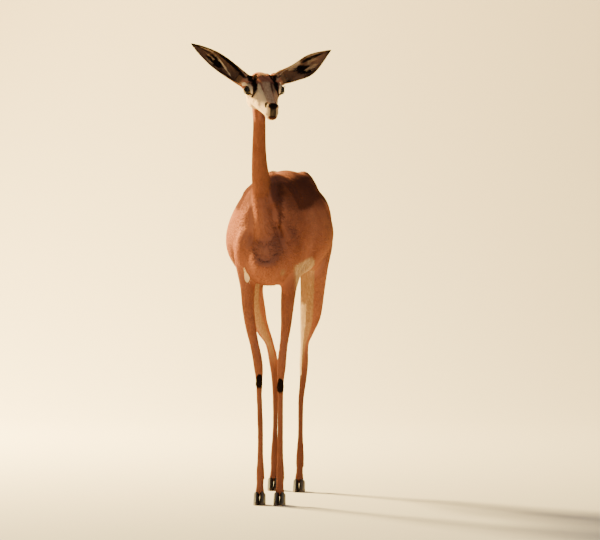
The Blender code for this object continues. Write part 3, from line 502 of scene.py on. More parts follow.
ears = {"left": Ear(1.0), "right": Ear(-1.0)}
for ear in ears.values():
    rings = [ear.at(share, np.linspace(-1.0, 1.0, 29) * 180.0 / EAR_ROOT_SPREAD * 0.96, scale)
             for share, scale in ((-0.08, 1.34), (-0.04, 1.24), (0.0, 1.12), (0.05, 1.03),
                                  (0.10, 0.98), (0.15, 0.93))]
    flesh.append(mesh_of(loft(rings), "form"))
    muscle(ear.root + ear.axis * 0.004 - ear.open_way * 0.006, (0.0190, 0.0210, 0.0215),
           place=Matrix.Identity(4))


def evaluated(item, name):
    """The object's shape with its modifiers, as a plain new object in its place."""
    graph = bpy.context.evaluated_depsgraph_get()
    mesh = bpy.data.meshes.new_from_object(item.evaluated_get(graph))
    bpy.data.objects.remove(item, do_unlink=True)
    mesh.name = name
    return put_in(name, mesh)


def rise(values, start, end):
    """0 before start, 1 past end, and a soft step between them."""
    t = np.clip((values - start) / (end - start), 0.0, 1.0)
    return t * t * (3.0 - 2.0 * t)


def coords(mesh, kind="co"):
    """The places of a mesh's points, or the ways that they face, by kind "normal"."""
    flat = np.empty(len(mesh.vertices) * 3, np.float32)
    mesh.vertices.foreach_get(kind, flat)
    return flat.reshape(-1, 3).astype(float)


def unit(ways):
    """Each way at length 1."""
    return ways / np.linalg.norm(ways, axis=1)[:, None]


def laid_flat(ways, ups):
    """Ways turned to lie along the skin that faces ups, at length 1."""
    return unit(ways - ups * (ways * ups).sum(1)[:, None])


to_head = np.array(HEAD.inverted())


def head_coords(points):
    """Places in the head's own axes: side, forward, up."""
    return points @ to_head[:3, :3].T + to_head[:3, 3]


NAPE = np.array(in_head(0.0, -0.020, -0.022))
HEADWARD = np.array((in_head(0.0, 1.0, 0.62) - in_head(0.0, 0.0, 0.0)).normalized())


def on_head(points, behind, low, high):
    """0 on the neck and 1 on the head, with a soft step from behind the nape and at a height."""
    forward = (points - NAPE) @ HEADWARD
    return rise(forward, behind, 0.010) * rise(points[:, 2] - MOVED.z, low, high)


def ease(item, name, iterations, weights):
    """Smooths the object, each point by its weight in steps of a tenth."""
    group = item.vertex_groups.new(name="ease")
    for level in range(1, 11):
        chosen = np.nonzero(np.rint(weights * 10) == level)[0]
        group.add(chosen.tolist(), level / 10.0, "REPLACE")
    smooth = item.modifiers.new("ease", "SMOOTH")
    smooth.factor = 0.5
    smooth.iterations = iterations
    smooth.vertex_group = "ease"
    return evaluated(item, name)


bm = bmesh.new()
for mesh in flesh:
    bm.from_mesh(mesh)
whole = bpy.data.meshes.new("hide")
bm.to_mesh(whole)
bm.free()
hide = put_in("hide", whole)
skin = hide.modifiers.new("skin", "REMESH")
skin.mode = "VOXEL"
skin.voxel_size = HIDE_VOXEL
hide = evaluated(hide, "hide")

COAT_DEPTH_TRUNK = 0.0020
COAT_DEPTH_LEG = 0.0010
COAT_DEPTH_HEAD = 0.0008
height = coords(hide.data)[:, 2] - MOVED.z
hide = ease(hide, "hide", 14, 1.0 - 0.70 * on_head(coords(hide.data), -0.020, 1.04, 1.08))
broad = np.minimum(rise(height, BRISKET_HEIGHT, BRISKET_HEIGHT + 0.05),
                   rise(-height, -NECK_FRONT_TOP, 0.05 - NECK_FRONT_TOP))
hide = ease(hide, "hide", 130, broad)
thin = hide.modifiers.new("thin", "DECIMATE")
hide.data.calc_loop_triangles()
thin.ratio = min(1.0, HIDE_TRIANGLES / len(hide.data.loop_triangles))
hide = evaluated(hide, "hide")
height = coords(hide.data)[:, 2] - MOVED.z
depth = COAT_DEPTH_LEG + (COAT_DEPTH_TRUNK - COAT_DEPTH_LEG) * rise(height, 0.50, 0.64)
depth += (COAT_DEPTH_HEAD - depth) * on_head(coords(hide.data), -0.020, 1.04, 1.08)
sunk = coords(hide.data) - coords(hide.data, "normal") * depth[:, None]
hide.data.vertices.foreach_set("co", sunk.astype(np.float32).ravel())
hide.data.update()

cutters = bpy.data.collections.new("cutters")
scene.collection.children.link(cutters)


def cutter(bm, name):
    """A form that is cut out of the hide."""
    cutters.objects.link(bpy.data.objects.new(name, mesh_of(bm, name)))


def eye_axes(side):
    """Along the slit, up across it, and out of the eye, in the head's axes."""
    out = Vector((side * 0.80, 0.58, 0.10)).normalized()
    along = Vector((0.0, 0.0, 1.0)).cross(out).normalized()
    tip = Matrix.Rotation(side * math.radians(-8), 4, "Z")
    axes = Matrix((along, out.cross(along), out)).transposed().to_4x4()
    return axes @ tip


LID_SLIT = (0.0126, 0.0096, 0.0088)
LID_FORWARD = 0.0125
SOCKET_GAP = 0.0002
NOSTRIL = (0.0150, 0.1880, 0.0118)
NOSTRIL_RADII = (0.0034, 0.0080, 0.0040)
for side in (-1.0, 1.0):
    eye = Matrix.Translation((side * EYE_PLACE[0], *EYE_PLACE[1:]))
    slit = (eye @ eye_axes(side) @ Matrix.Translation((0.0, 0.0, LID_FORWARD))
            @ Matrix.Diagonal((*LID_SLIT, 1.0)))
    cutter(ball_of(HEAD @ slit, 48, 32), "lid_slit")
    cutter(ball_of(HEAD @ eye, 48, 32, EYE_RADIUS + SOCKET_GAP), "socket")
    turn = (Matrix.Rotation(side * math.radians(24), 4, "Z")
            @ Matrix.Rotation(side * math.radians(28), 4, "Y"))
    nostril = (Matrix.Translation((side * NOSTRIL[0], *NOSTRIL[1:])) @ turn
               @ Matrix.Diagonal((*NOSTRIL_RADII, 1.0)))
    cutter(ball_of(HEAD @ nostril, 24, 16), "nostril")

# the skin ends at the sloping coronet of each foot, where the horn begins
CORONET_HEIGHT = 0.030
CORONET_SLOPE = 0.46 / 0.888
for foot in FEET.values():
    bm = bmesh.new()
    bmesh.ops.create_cube(bm, size=0.10)
    bmesh.ops.scale(bm, vec=(0.55, 1.0, 1.0), verts=bm.verts[:])
    for corner in bm.verts:
        top = CORONET_HEIGHT - CORONET_SLOPE * (corner.co.y - 0.004)
        corner.co.z = top if corner.co.z > 0.0 else -0.05
    bmesh.ops.translate(bm, vec=Vector((*foot, 0.0)) + MOVED, verts=bm.verts[:])
    cutter(bm, "coronet")

def curve_through(name, places, closed=False):
    """A curve object of straight steps through the places."""
    curve = bpy.data.curves.new(name, "CURVE")
    curve.dimensions = "3D"
    spline = curve.splines.new("POLY")
    spline.points.add(len(places) - 1)
    spline.use_cyclic_u = closed
    for slot, place in zip(spline.points, places):
        slot.co = (*place, 1.0)
    return put_in(name, curve)


# the line of the mouth: rays from all round the muzzle find the skin at the lips' height
tree = BVHTree.FromObject(hide, bpy.context.evaluated_depsgraph_get())
mouth_points = []
for turn in np.linspace(-1.0, 1.0, 41):
    back = abs(turn)
    inner = in_head(0.0, 0.206 - 0.054 * back**1.3 - 0.030 * (1.0 - back),
                    MOUTH_HEIGHT + 0.003 * back**2)
    swing = math.radians(90.0) * turn
    outer = inner + (HEAD.to_3x3() @ Vector((math.sin(swing), math.cos(swing), 0.0))) * 0.08
    place, _, _, _ = tree.ray_cast(outer, (inner - outer).normalized())
    if place is not None:
        mouth_points.append(place)
mouth = curve_through("mouth", mouth_points)
mouth.data.bevel_depth = 0.0011
mouth.data.bevel_resolution = 1
mouth.data.use_fill_caps = True
mouth = evaluated(mouth, "mouth")
bm = bmesh.new()
bm.from_mesh(mouth.data)
bpy.data.objects.remove(mouth, do_unlink=True)
bmesh.ops.remove_doubles(bm, verts=bm.verts[:], dist=0.00002)
cutter(bm, "mouth")
cut = hide.modifiers.new("cut", "BOOLEAN")
cut.operation = "DIFFERENCE"
cut.solver = "MANIFOLD"
cut.operand_type = "COLLECTION"
cut.collection = cutters
hide = evaluated(hide, "hide")
for item in list(cutters.objects):
    bpy.data.objects.remove(item, do_unlink=True)
bpy.data.collections.remove(cutters)
bm = bmesh.new()
bm.from_mesh(hide.data)
bmesh.ops.triangulate(bm, faces=bm.faces[:])
bm.to_mesh(hide.data)
bm.free()
hide.data.shade_smooth()
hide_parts("head", "neck", "torso",
            *[name + half for name in FEET for half in ("_upper", "_lower")])
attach(hide, "root")


# ---- Markings and the pelt's finish
# A dark red-brown saddle over the back with a crisp lower edge, buff flanks, white belly,
# inner legs, rump and face marks, and black at the knees, tail, ears and round the eyes.
# Shade and light are painted in too: the neck's shade over the withers and down the crease
# before the shoulder, a lighter top to the back, and on the face a dark patch and fainter
# cream beside the bridge on the shaded side, with a cream-lightened top of the nose.
# Each lock of the coat takes the marks at its own root, so that edges break up as hair does.

KNEE_HEIGHTS = {"foreleg_left": 0.336, "foreleg_right": 0.347}


def blob(points, centre, radii):
    """1 inside a soft ball, 0 outside."""
    away = np.linalg.norm((points - np.array(centre)) / np.array(radii), axis=1)
    return 1.0 - rise(away, 0.75, 1.15)


def chain_of_blobs(points, chain):
    """1 along a soft band through places. A row is a place and the band's half width there."""
    inside = np.zeros(len(points))
    for (*start, thin), (*end, thick) in zip(chain, chain[1:]):
        a, b = np.array(start), np.array(end)
        t = np.clip((points - a) @ (b - a) / ((b - a) @ (b - a)), 0.0, 1.0)
        away = np.linalg.norm(points - a - t[:, None] * (b - a), axis=1)
        inside = np.maximum(inside, 1.0 - rise(away / (thin + (thick - thin) * t), 0.80, 1.20))
    return inside


def marks_at(points, normals, jitter=0.0):
    """White, black, saddle (with painted shade and light) and pale shares of the coat at places on the
    animal.
    """
    q = points - np.array(MOVED) + jitter
    x, y, z = q[:, 0], q[:, 1], q[:, 2]
    h = head_coords(points + jitter)
    s, f, u = np.abs(h[:, 0]), h[:, 1], h[:, 2]
    head = rise((points - NAPE) @ HEADWARD, -0.006, 0.010) * rise(z, 1.05, 1.09)
    body = 1.0 - head
    down = -normals[:, 2]
    inward = -normals[:, 0] * np.sign(x - 0.004)

    # the saddle; forward of it, over the withers and in a tongue down the crease between neck and
    # shoulder, the neck's shade is painted in the same dark brown
    edge = 0.822 + 0.008 * np.sin(y * 11.0 + 0.8) - 0.03 * rise(y, 0.20, 0.34)
    saddle_and_shade = rise(z, edge - 0.005, edge + 0.005) * rise(y, -0.255, -0.235)
    # painted shade of the neck over the withers
    neck_shadow_on_withers = 0.58 * rise(z, 0.80, 0.83) * rise(y, -0.31, -0.27)
    # painted shade down the crease between neck and shoulder
    crease = np.interp(z, (0.776, 0.817, 0.844, 0.858, 0.900), (0.037, 0.035, 0.029, 0.026, 0.019))
    breadth = np.interp(z, (0.776, 0.817, 0.844, 0.858, 0.900), (0.003, 0.0075, 0.014, 0.017, 0.017))
    crease_shade = 1.0 - rise(np.abs(x - crease) / breadth, 0.6, 1.2)
    crease_shade *= rise(z, 0.765, 0.790) * rise(-y, 0.21, 0.23) * (y > -0.345)
    saddle_and_shade = np.maximum.reduce([saddle_and_shade, neck_shadow_on_withers, 0.92 * crease_shade]) * (1.0 - rise(z, 0.905, 0.96))
    # painted light: the top of the back is lighter, as if lit from above
    saddle_and_shade *= 1.0 - 0.55 * rise(z, 0.886, 0.898)
    low_leg = np.where(y > 0.0, 0.72, 0.44) * (1.0 - rise(z, 0.30, 0.46))
    pale = 0.14 * body * rise(z, 0.62, 0.68) * (1.0 - rise(z, 0.74, edge)) * rise(y, -0.12, 0.0)

    # white and tan below
    wide = np.abs(x - 0.002)
    flank = np.minimum(0.664 + 0.5 * (wide - 0.071), np.maximum(0.680 - (y + 0.165) / 2.7, 0.622))
    belly = (rise(down, 0.62, 0.85) * rise(z, 0.56, 0.60) * (1.0 - rise(z, 0.605, 0.622))
             * rise(y, -0.17, -0.12))
    under = (rise(wide, 0.064, 0.074) * (1.0 - rise(z - flank, -0.003, 0.004)) * rise(z, 0.565, 0.59)
             * rise(y, -0.290, -0.280) * np.where(x > 0.0, 1.0, rise(y, -0.18, -0.14))
             * (1.0 - rise(y, 0.05, 0.09)))
    armpit = np.maximum(blob(q, (-0.0600, -0.250, 0.634), (0.0085, 0.035, 0.021)),
                        blob(q, (-0.0635, -0.250, 0.654), (0.0060, 0.035, 0.013)))
    tan_armpit = blob(q, (0.0385, -0.285, 0.652), (0.012, 0.040, 0.016))
    behind = rise(y, 0.08, 0.12) * (1.0 - rise(z, 0.632, 0.652)) * rise(z, 0.34, 0.40)
    tan = behind * rise(inward, -0.42, -0.26) * (1.0 - (x < 0.0) * rise(inward, 0.86, 0.94))
    strip = (rise(inward, 0.46, 0.60) * rise(z, 0.315, 0.335) * (1.0 - rise(z, 0.515, 0.555))
             * (x > 0.0) * rise(y, 0.08, 0.12))
    rump = (rise(y, 0.335, 0.350) * rise(z, 0.70, 0.74)
            * (1.0 - rise(np.abs(x - RUMP_SWAY), 0.030, 0.045)))
    white = body * np.maximum.reduce([belly, 0.42 * under, 0.9 * armpit, 0.36 * tan_armpit,
                                      0.34 * tan, strip, rump])
    pale = np.maximum.reduce([pale, under * body, tan * body, tan_armpit * body])

    knees = np.zeros(len(q))
    dew = np.zeros(len(q))
    for name, foot in FEET.items():
        near = np.exp(-(((x - foot[0]) / 0.03) ** 2)) * (np.abs(y - foot[1] - 0.02) < 0.08)
        dew = np.maximum(dew, blob(q, (foot[0], foot[1] + 0.046, 0.072), (0.020, 0.014, 0.014)))
        if name.startswith("fore"):
            knee = (foot[0], foot[1] + 0.006, KNEE_HEIGHTS[name] - 0.004)
            knees = np.maximum(knees, near * blob(q, knee, (0.0105, 0.014, 0.0200)))
    black = np.maximum(0.92 * knees, 0.9 * dew) * body

    # round the eye: black lid skin, a white ring, and behind it a white temple
    slit_way, lift_way, out_way = np.array(eye_axes(1.0))[:3, :3].T
    hs = np.stack([s, f, u], 1)
    eye = hs - np.array(EYE_PLACE)
    reach = np.hypot(eye @ slit_way / 0.0142, eye @ lift_way / 0.0118)
    near_eye = rise(eye @ out_way, -0.012, -0.002)
    rim = (1.0 - rise(reach, 0.98, 1.12)) * near_eye
    duct = blob(hs, (0.0395, 0.0960, 0.0115), (0.0040, 0.0050, 0.0030))
    ring = (1.0 - rise(reach, 1.38, 1.60)) * near_eye
    temple = ((0.0515, 0.043, 0.0215, 0.0050), (0.0470, 0.064, 0.0325, 0.0050))
    ring = np.maximum(ring, chain_of_blobs(hs, temple))

    # a dark band from the crown down inside the eye to the gland before it
    inner_band = ((0.0490, 0.034, 0.0425, 0.0058), (0.0320, 0.033, 0.0425, 0.0066),
                  (0.0195, 0.043, 0.0485, 0.0084), (0.0220, 0.061, 0.0460, 0.0070),
                  (0.0270, 0.072, 0.0420, 0.0062), (0.0310, 0.083, 0.0375, 0.0065),
                  (0.0285, 0.094, 0.0330, 0.0072), (0.0290, 0.102, 0.0260, 0.0068),
                  (0.0340, 0.104, 0.0165, 0.0060), (0.0378, 0.100, 0.0060, 0.0048))
    before_ear = ((0.0320, 0.033, 0.0425, 0.0066), (0.0345, 0.048, 0.0375, 0.0058),
                  (0.0310, 0.068, 0.0410, 0.0060))
    band = np.maximum(chain_of_blobs(hs, inner_band), chain_of_blobs(hs, before_ear))
    band *= 1.0 - ring * rise(-u, -0.034, -0.030)

    # cream beside the bridge, fainter on the animal's left as painted shade, a cream-lightened top of
    # the nose as painted light, a dark patch beside the bridge on the left as painted shade, white
    # cheeks and chin, a grey muzzle and a dark nose and lip
    bridge = 0.0150 - 0.0050 * rise(f, 0.09, 0.16)
    beside = 0.80 * rise(s, bridge - 0.003, bridge + 0.004) * rise(f, 0.082, 0.100) * rise(u, -0.01, 0.0)
    # painted shade: the cream beside the bridge is fainter on the animal's left, the shaded side of the
    # face
    beside *= np.where(h[:, 0] > 0.0, 0.52, 1.0)
    cheek = rise(-u, -0.014, 0.0) * rise(s, 0.008, 0.014) * rise(f, 0.015, 0.05)
    chin = rise(-u, 0.010, 0.016) * rise(f, 0.03, 0.06)
    tuft = blob(hs, (0.0430, 0.0430, 0.0365), (0.0075, 0.010, 0.0065))
    crown = blob(hs, (0.0, 0.044, 0.0515), (0.0150, 0.024, 0.012))
    muzzle = rise(f, 0.186, 0.202)
    # painted light: the top of the nose is lightened with cream, as if lit
    painted_light_on_nose = rise(f, 0.075, 0.095) * (1.0 - rise(s, 0.010, 0.016)) * rise(u, 0.0, 0.01)
    face_white = np.maximum.reduce([0.44 * painted_light_on_nose, ring, beside, 0.80 * cheek, 0.85 * chin,
                                    0.44 * tuft, 0.42 * crown, 0.55 * muzzle])
    nose = blob(hs, (0.0, 0.2060, 0.0158), (0.0130, 0.0130, 0.0082))
    nostril = blob(hs, NOSTRIL, (0.0085, 0.0160, 0.0074))
    front_of_muzzle = rise(f, 0.195, 0.208) * (1.0 - rise(s, 0.006, 0.017))
    lip = blob(hs, (0.0, 0.210, -0.0165), (0.0125, 0.012, 0.0065))
    # painted shade: a dark red-brown patch beside the bridge on the animal's left
    painted_face_shade = blob(np.stack([h[:, 0], f, u], 1), (0.0170, 0.110, 0.034), (0.0115, 0.034, 0.014))
    face_black = np.maximum.reduce([rim, 0.9 * duct, 0.74 * band, 0.46 * tuft, 0.53 * crown,
                                    0.9 * nose, nostril, 0.61 * front_of_muzzle, 0.42 * painted_face_shade,
                                    0.47 * lip, 0.42 * muzzle])
    dark_face = np.maximum.reduce([rim, duct, band, nose, nostril, lip])
    white = np.maximum(white, head * face_white) * (1.0 - head * dark_face)
    black = np.maximum(black, head * face_black)
    reddish_and_shade = head * np.maximum.reduce([0.85 * painted_face_shade, band, lip])

    for ear in ears.values():
        from_root = points - np.array(ear.root)
        out_along = from_root @ np.array(ear.axis)
        opening = rise(normals @ np.array(ear.open_way), -0.1, 0.3)
        own = (np.sign(h[:, 0]) == ear.side) * (s < 0.09) * (np.linalg.norm(from_root, axis=1) < 0.05)
        cup = own * rise(out_along, 0.006, 0.014) * np.maximum(opening, rise(out_along, 0.022, 0.026))
        cup *= 1.0 - tuft
        above = from_root @ -np.array(ear.sag_way)
        greyer = 0.0 if ear.side < 0.0 else 0.06
        black = np.where(cup > 0.4, 0.51 - greyer * rise(above, 0.0, 0.008), black)
        if ear.side < 0.0:
            ridge = own * rise(above, 0.003, 0.009) * rise(out_along, 0.0, 0.008)
            black = np.maximum(black, 0.8 * ridge * rise(normals @ np.array(ear.open_way), -0.7, -0.3))
        white = white * (1.0 - cup)
        pale = np.maximum(pale, cup)
    throat = rise(-normals[:, 1], 0.1, 0.6) * rise(z, 1.09, 1.12) * body
    white = np.maximum(white, 0.40 * throat)
    reddish_and_shade = np.maximum.reduce([saddle_and_shade * body, low_leg * body, reddish_and_shade])
    return np.stack([white, black, reddish_and_shade, pale], 1)


class Number:
    """A number that a node gives, so that sums on it are written as sums."""

    def __init__(self, paint, socket):
        self.paint, self.socket = paint, socket

    def _join(self, other, operation, other_first=False):
        pair = (other, self) if other_first else (self, other)
        return self.paint.add("ShaderNodeMath", {"operation": operation}, {0: pair[0], 1: pair[1]})

    def __add__(self, other):
        return self._join(other, "ADD")

    def __radd__(self, other):
        return self._join(other, "ADD")

    def __sub__(self, other):
        return self._join(other, "SUBTRACT")

    def __rsub__(self, other):
        return self._join(other, "SUBTRACT", True)

    def __mul__(self, other):
        return self._join(other, "MULTIPLY")

    def __rmul__(self, other):
        return self._join(other, "MULTIPLY")

    def clipped(self, start, end):
        return self.paint.add("ShaderNodeMapRange", {"interpolation_type": "SMOOTHSTEP"},
                              {"Value": self, "From Min": start, "From Max": end})


class Paint:
    """A material and the nodes that colour it."""

    def __init__(self, name, roughness):
        self.material = bpy.data.materials.new(name)
        self.material.use_nodes = True
        self.tree = self.material.node_tree
        self.shader = self.tree.nodes["Principled BSDF"]
        self.shader.inputs["Roughness"].default_value = roughness
        self.place = self.node("ShaderNodeTexCoord").outputs["Object"]

    def node(self, kind, settings=None, sockets=None):
        made = self.tree.nodes.new(kind)
        for key, value in (settings or {}).items():
            setattr(made, key, value)
        for key, value in (sockets or {}).items():
            self.feed(made.inputs[key], value)
        return made

    def add(self, kind, settings=None, sockets=None, output=0):
        return Number(self, self.node(kind, settings, sockets).outputs[output])

    def feed(self, entry, value):
        if isinstance(value, Number):
            value = value.socket
        if isinstance(value, bpy.types.NodeSocket):
            self.tree.links.new(value, entry)
        else:
            entry.default_value = value

    def mix(self, share, first, second):
        """A colour between two, by a share from 0 to 1."""
        made = self.node("ShaderNodeMix", {"data_type": "RGBA"})
        self.feed(made.inputs[0], share)
        self.feed(made.inputs[6], (*first, 1.0) if isinstance(first, tuple) else first)
        self.feed(made.inputs[7], (*second, 1.0) if isinstance(second, tuple) else second)
        return made.outputs[2]

    def noise(self, scale, detail=2.0, stretch=(1.0, 1.0, 1.0)):
        place = self.node("ShaderNodeMapping", None, {"Vector": self.place, "Scale": stretch})
        return self.add("ShaderNodeTexNoise", None,
                        {"Vector": place.outputs[0], "Scale": scale, "Detail": detail})

    def bump(self, height, distance, strength):
        made = self.node("ShaderNodeBump", None,
                         {"Height": height, "Distance": distance, "Strength": strength})
        self.feed(self.shader.inputs["Normal"], made.outputs[0])


RUFOUS = to_linear(168, 108, 84)
DEEP_RUFOUS = to_linear(148, 92, 71)
# the saddle's dark brown, also used for painted shade
SADDLE_BROWN_AND_SHADE = to_linear(88, 52, 43)
BUFF = to_linear(170, 134, 98)
CREAM = to_linear(240, 208, 164)
NEAR_BLACK = to_linear(30, 21, 17)

pelt = Paint("pelt", 0.82)
marks = pelt.node("ShaderNodeAttribute", {"attribute_name": "marks"})
split = pelt.node("ShaderNodeSeparateColor", None, {"Color": marks.outputs["Color"]})
white, black, saddle_and_shade = (Number(pelt, socket) for socket in split.outputs)
pale = Number(pelt, marks.outputs["Alpha"])
tone = Number(pelt, pelt.node("ShaderNodeAttribute", {"attribute_name": "tone"}).outputs["Fac"])
mottle = pelt.noise(9.0, 2.0)
streak = pelt.noise(240.0, 2.0, (1.0, 1.0, 0.16))
ground = pelt.mix(mottle.clipped(0.30, 0.70), RUFOUS, DEEP_RUFOUS)
ground = pelt.mix(pale * 0.75, ground, BUFF)
# the saddle brown also paints the shade of the neck and of the face
ground = pelt.mix(saddle_and_shade * 0.92, ground, SADDLE_BROWN_AND_SHADE)
ground = pelt.mix((white + (streak - 0.5) * 0.22).clipped(0.30, 0.62), ground, CREAM)
ground = pelt.mix((black + (streak - 0.5) * 0.16).clipped(0.34, 0.66), ground, NEAR_BLACK)
shade = 0.80 + 0.32 * tone + 0.16 * (streak - 0.5)
worn = pelt.node("ShaderNodeVectorMath", {"operation": "SCALE"}, {0: ground, "Scale": shade})
pelt.feed(pelt.shader.inputs["Base Color"], worn.outputs[0])
pelt.shader.inputs["Specular IOR Level"].default_value = 0.0
pelt.bump(pelt.noise(420.0, 2.0, (1.0, 1.0, 0.12)), 0.0006, 0.55)


def mark_mesh(item, marks_given, tones):
    """Writes the marks and the lightness of each point, for the pelt's nodes to read."""
    layer = item.data.attributes.new("marks", "FLOAT_COLOR", "POINT")
    layer.data.foreach_set("color", marks_given.astype(np.float32).ravel())
    layer = item.data.attributes.new("tone", "FLOAT", "POINT")
    layer.data.foreach_set("value", tones.astype(np.float32))
    item.data.materials.clear()
    item.data.materials.append(pelt.material)


def part_at(points):
    """Which part of the body a place is on: 0 head, 1 neck, 2 trunk, 3 to 6 legs."""
    q = points - np.array(MOVED)
    part = np.full(len(q), 2)
    part[(q[:, 2] > 0.86) & (q[:, 1] < -0.24)] = 1
    part[((points - NAPE) @ HEADWARD > 0.0) & (q[:, 2] > 1.05)] = 0
    leg = q[:, 2] < np.where(q[:, 1] < 0.0, 0.600, 0.640)
    part[leg] = 3 + 2 * (q[leg, 1] > 0.0) + (q[leg, 0] > 0.004)
    return part


def shelves(sizes, margin):
    """Rectangles set on shelves in the unit square: their corners and the common scale."""
    scale = 1.0 / math.sqrt(sum(w * h for w, h in sizes))
    order = sorted(range(len(sizes)), key=lambda i: -sizes[i][1])
    while True:
        corners = np.zeros((len(sizes), 2))
        x = y = tall = 0.0
        for i in order:
            w, h = sizes[i][0] * scale + margin, sizes[i][1] * scale + margin
            if x + w > 1.0:
                x, y, tall = 0.0, y + tall, 0.0
            corners[i] = (x + margin / 2.0, y + margin / 2.0)
            x, tall = x + w, max(tall, h)
        if y + tall <= 1.0 and max(w * scale for w, _ in sizes) < 1.0:
            return corners, scale
        scale *= 0.97


class Unwrap:
    """The skin laid flat: each part seen along the axis that it faces most."""

    def __init__(self, corners, face_normals, parts):
        self.facing = np.abs(face_normals).argmax(1)
        ahead = face_normals[np.arange(len(face_normals)), self.facing] > 0.0
        chart = parts * 6 + self.facing * 2 + ahead
        used, self.chart = np.unique(chart, return_inverse=True)
        flat = self.flat(corners, np.repeat(self.facing[:, None], 3, 1))
        spots = [flat[self.chart == i].reshape(-1, 2) for i in range(len(used))]
        self.low = np.array([group.min(0) for group in spots])
        high = np.array([group.max(0) for group in spots])
        self.corner, self.scale = shelves([tuple(v) for v in high - self.low], 0.008)

    def flat(self, points, facing):
        """The two coordinates that stay when a place is seen along the axis it faces."""
        keep = np.array(((1, 2), (0, 2), (0, 1)))[facing]
        return np.take_along_axis(points, keep, -1)

    def at(self, points, faces):
        """Where points that lie on these faces come in the unwrap."""
        chart = self.chart[faces]
        shape = points.shape[:-1]
        facing = np.broadcast_to(self.facing[faces].reshape(-1, *[1] * (len(shape) - 1)), shape)
        spot = self.flat(points, facing)
        fit = (slice(None),) + (None,) * (len(shape) - 1)
        return (spot - self.low[chart][fit]) * self.scale + self.corner[chart][fit]


def triangles_of(item):
    """The corners of each triangle, as numbers of points."""
    mesh = item.data
    corners = np.empty(len(mesh.polygons) * 3, np.int32)
    mesh.polygons.foreach_get("vertices", corners)
    return corners.reshape(-1, 3)


def write_map(item, corner_uvs):
    layer = item.data.uv_layers.new(name="OFBake")
    layer.data.foreach_set("uv", corner_uvs.astype(np.float32).ravel())


def areas_and_normals(corners):
    """Twice the area of each triangle, and the way that it faces."""
    cross = np.cross(corners[:, 1] - corners[:, 0], corners[:, 2] - corners[:, 0])
    doubled = np.linalg.norm(cross, axis=1)
    return doubled, cross / np.maximum(doubled, 1e-12)[:, None]


hide_points = coords(hide.data)
hide_faces = triangles_of(hide)
hide_corners = hide_points[hide_faces]
face_area, face_normal = areas_and_normals(hide_corners)
face_middle = hide_corners.mean(1)
face_part = part_at(face_middle)
point_normal = coords(hide.data, "normal")
mark_mesh(hide, marks_at(hide_points, point_normal), np.full(len(hide_points), 0.30))
hide_map = Unwrap(hide_corners, face_normal, face_part)
write_map(hide, hide_map.at(hide_corners, np.arange(len(hide_faces))))


# ---- The coat
# Short sleek hair, lying back over the trunk and down the neck and legs, 3 mm long at the
# nose and feet and 15 mm at the rump. It is made as thin tapered locks with their roots in
# the skin, set at random by area, and joined into one mesh for each part of the body.

LOCK_PATCH = 0.0030


def lock_mesh(name, roots, ups, lies, lengths, widths, lift, bend, rings, uvs, marks_given, tones):
    """Closed tapered locks. Each leaves its root along lies, raised by lift, and bends back."""
    count = len(roots)
    sides = np.cross(lies, ups)
    swell = {1: (1.0,), 2: (0.8, 1.0), 3: (0.75, 1.0, 0.7)}[rings]
    verts, patch = [], []
    for k in range(rings):
        t = k / rings
        up_by = (lift * t - bend * t * t) * lengths - (0.10 * widths + 0.0006 if k == 0 else 0.0)
        centre = roots + lies * (lengths * t)[:, None] + ups * up_by[:, None]
        half = sides * (widths * 0.5 * swell[k])[:, None]
        top = ups * (widths * 0.30 * swell[k])[:, None]
        verts += [centre - half, centre + half, centre + top]
        patch += [(-0.5, t - 0.5), (0.5, t - 0.5), (0.0, t - 0.5)]
    verts.append(roots + lies * lengths[:, None] + ups * ((lift - bend) * lengths)[:, None])
    patch.append((0.0, 0.5))
    each = 3 * rings + 1
    faces = [(0, 1, 2)]
    for k in range(rings - 1):
        a, b = 3 * k, 3 * k + 3
        for i, j in ((0, 1), (1, 2), (2, 0)):
            faces += [(a + j, a + i, b + i), (a + j, b + i, b + j)]
    a = 3 * (rings - 1)
    faces += [(a + j, a + i, 3 * rings) for i, j in ((0, 1), (1, 2), (2, 0))]
    points = np.stack(verts, 1).reshape(-1, 3)
    corners = (np.arange(count)[:, None, None] * each + np.array(faces)[None]).reshape(-1, 3)
    item = add_mesh(name, points, corners)
    mark_mesh(item, np.repeat(marks_given, each, 0), np.repeat(tones, each))
    spots = uvs[:, None, :] + np.array(patch)[None] * LOCK_PATCH
    write_map(item, spots.reshape(-1, 2)[corners.ravel()])
    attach(item, "root")
    return item


def lie_of_coat(points, normals):
    """The way the hair lies: back from the nose, down the neck and legs, back on the trunk."""
    q = points - np.array(MOVED)
    lie = np.tile((0.0, 0.93, -0.36), (len(q), 1))
    neck = rise(q[:, 2], 0.80, 0.92) * rise(-q[:, 1], 0.16, 0.26)
    leg = 1.0 - rise(q[:, 2], 0.58, 0.68)
    rump = rise(q[:, 1], 0.26, 0.35)
    head = on_head(points, -0.010, 1.05, 1.08)
    backward = np.array(HEAD.to_3x3() @ Vector((0.0, -1.0, 0.10)))
    for share, way in ((rump, (0.0, 0.35, -0.94)), (neck, (0.0, 0.30, -0.95)),
                       (leg, (0.0, 0.12, -0.99)), (head, backward)):
        lie += (np.array(way) - lie) * share[:, None]
    for ear in ears.values():
        along = (points - np.array(ear.root)) @ np.array(ear.axis)
        away = np.linalg.norm(points - np.array(ear.root), axis=1)
        near = rise(along, -0.004, 0.010) * rise(-away, -0.050, -0.030)
        lie += (np.array(ear.axis) - lie) * (near * head)[:, None]
    lie -= normals * (lie * normals).sum(1)[:, None]
    return lie / np.maximum(np.linalg.norm(lie, axis=1), 1e-6)[:, None]


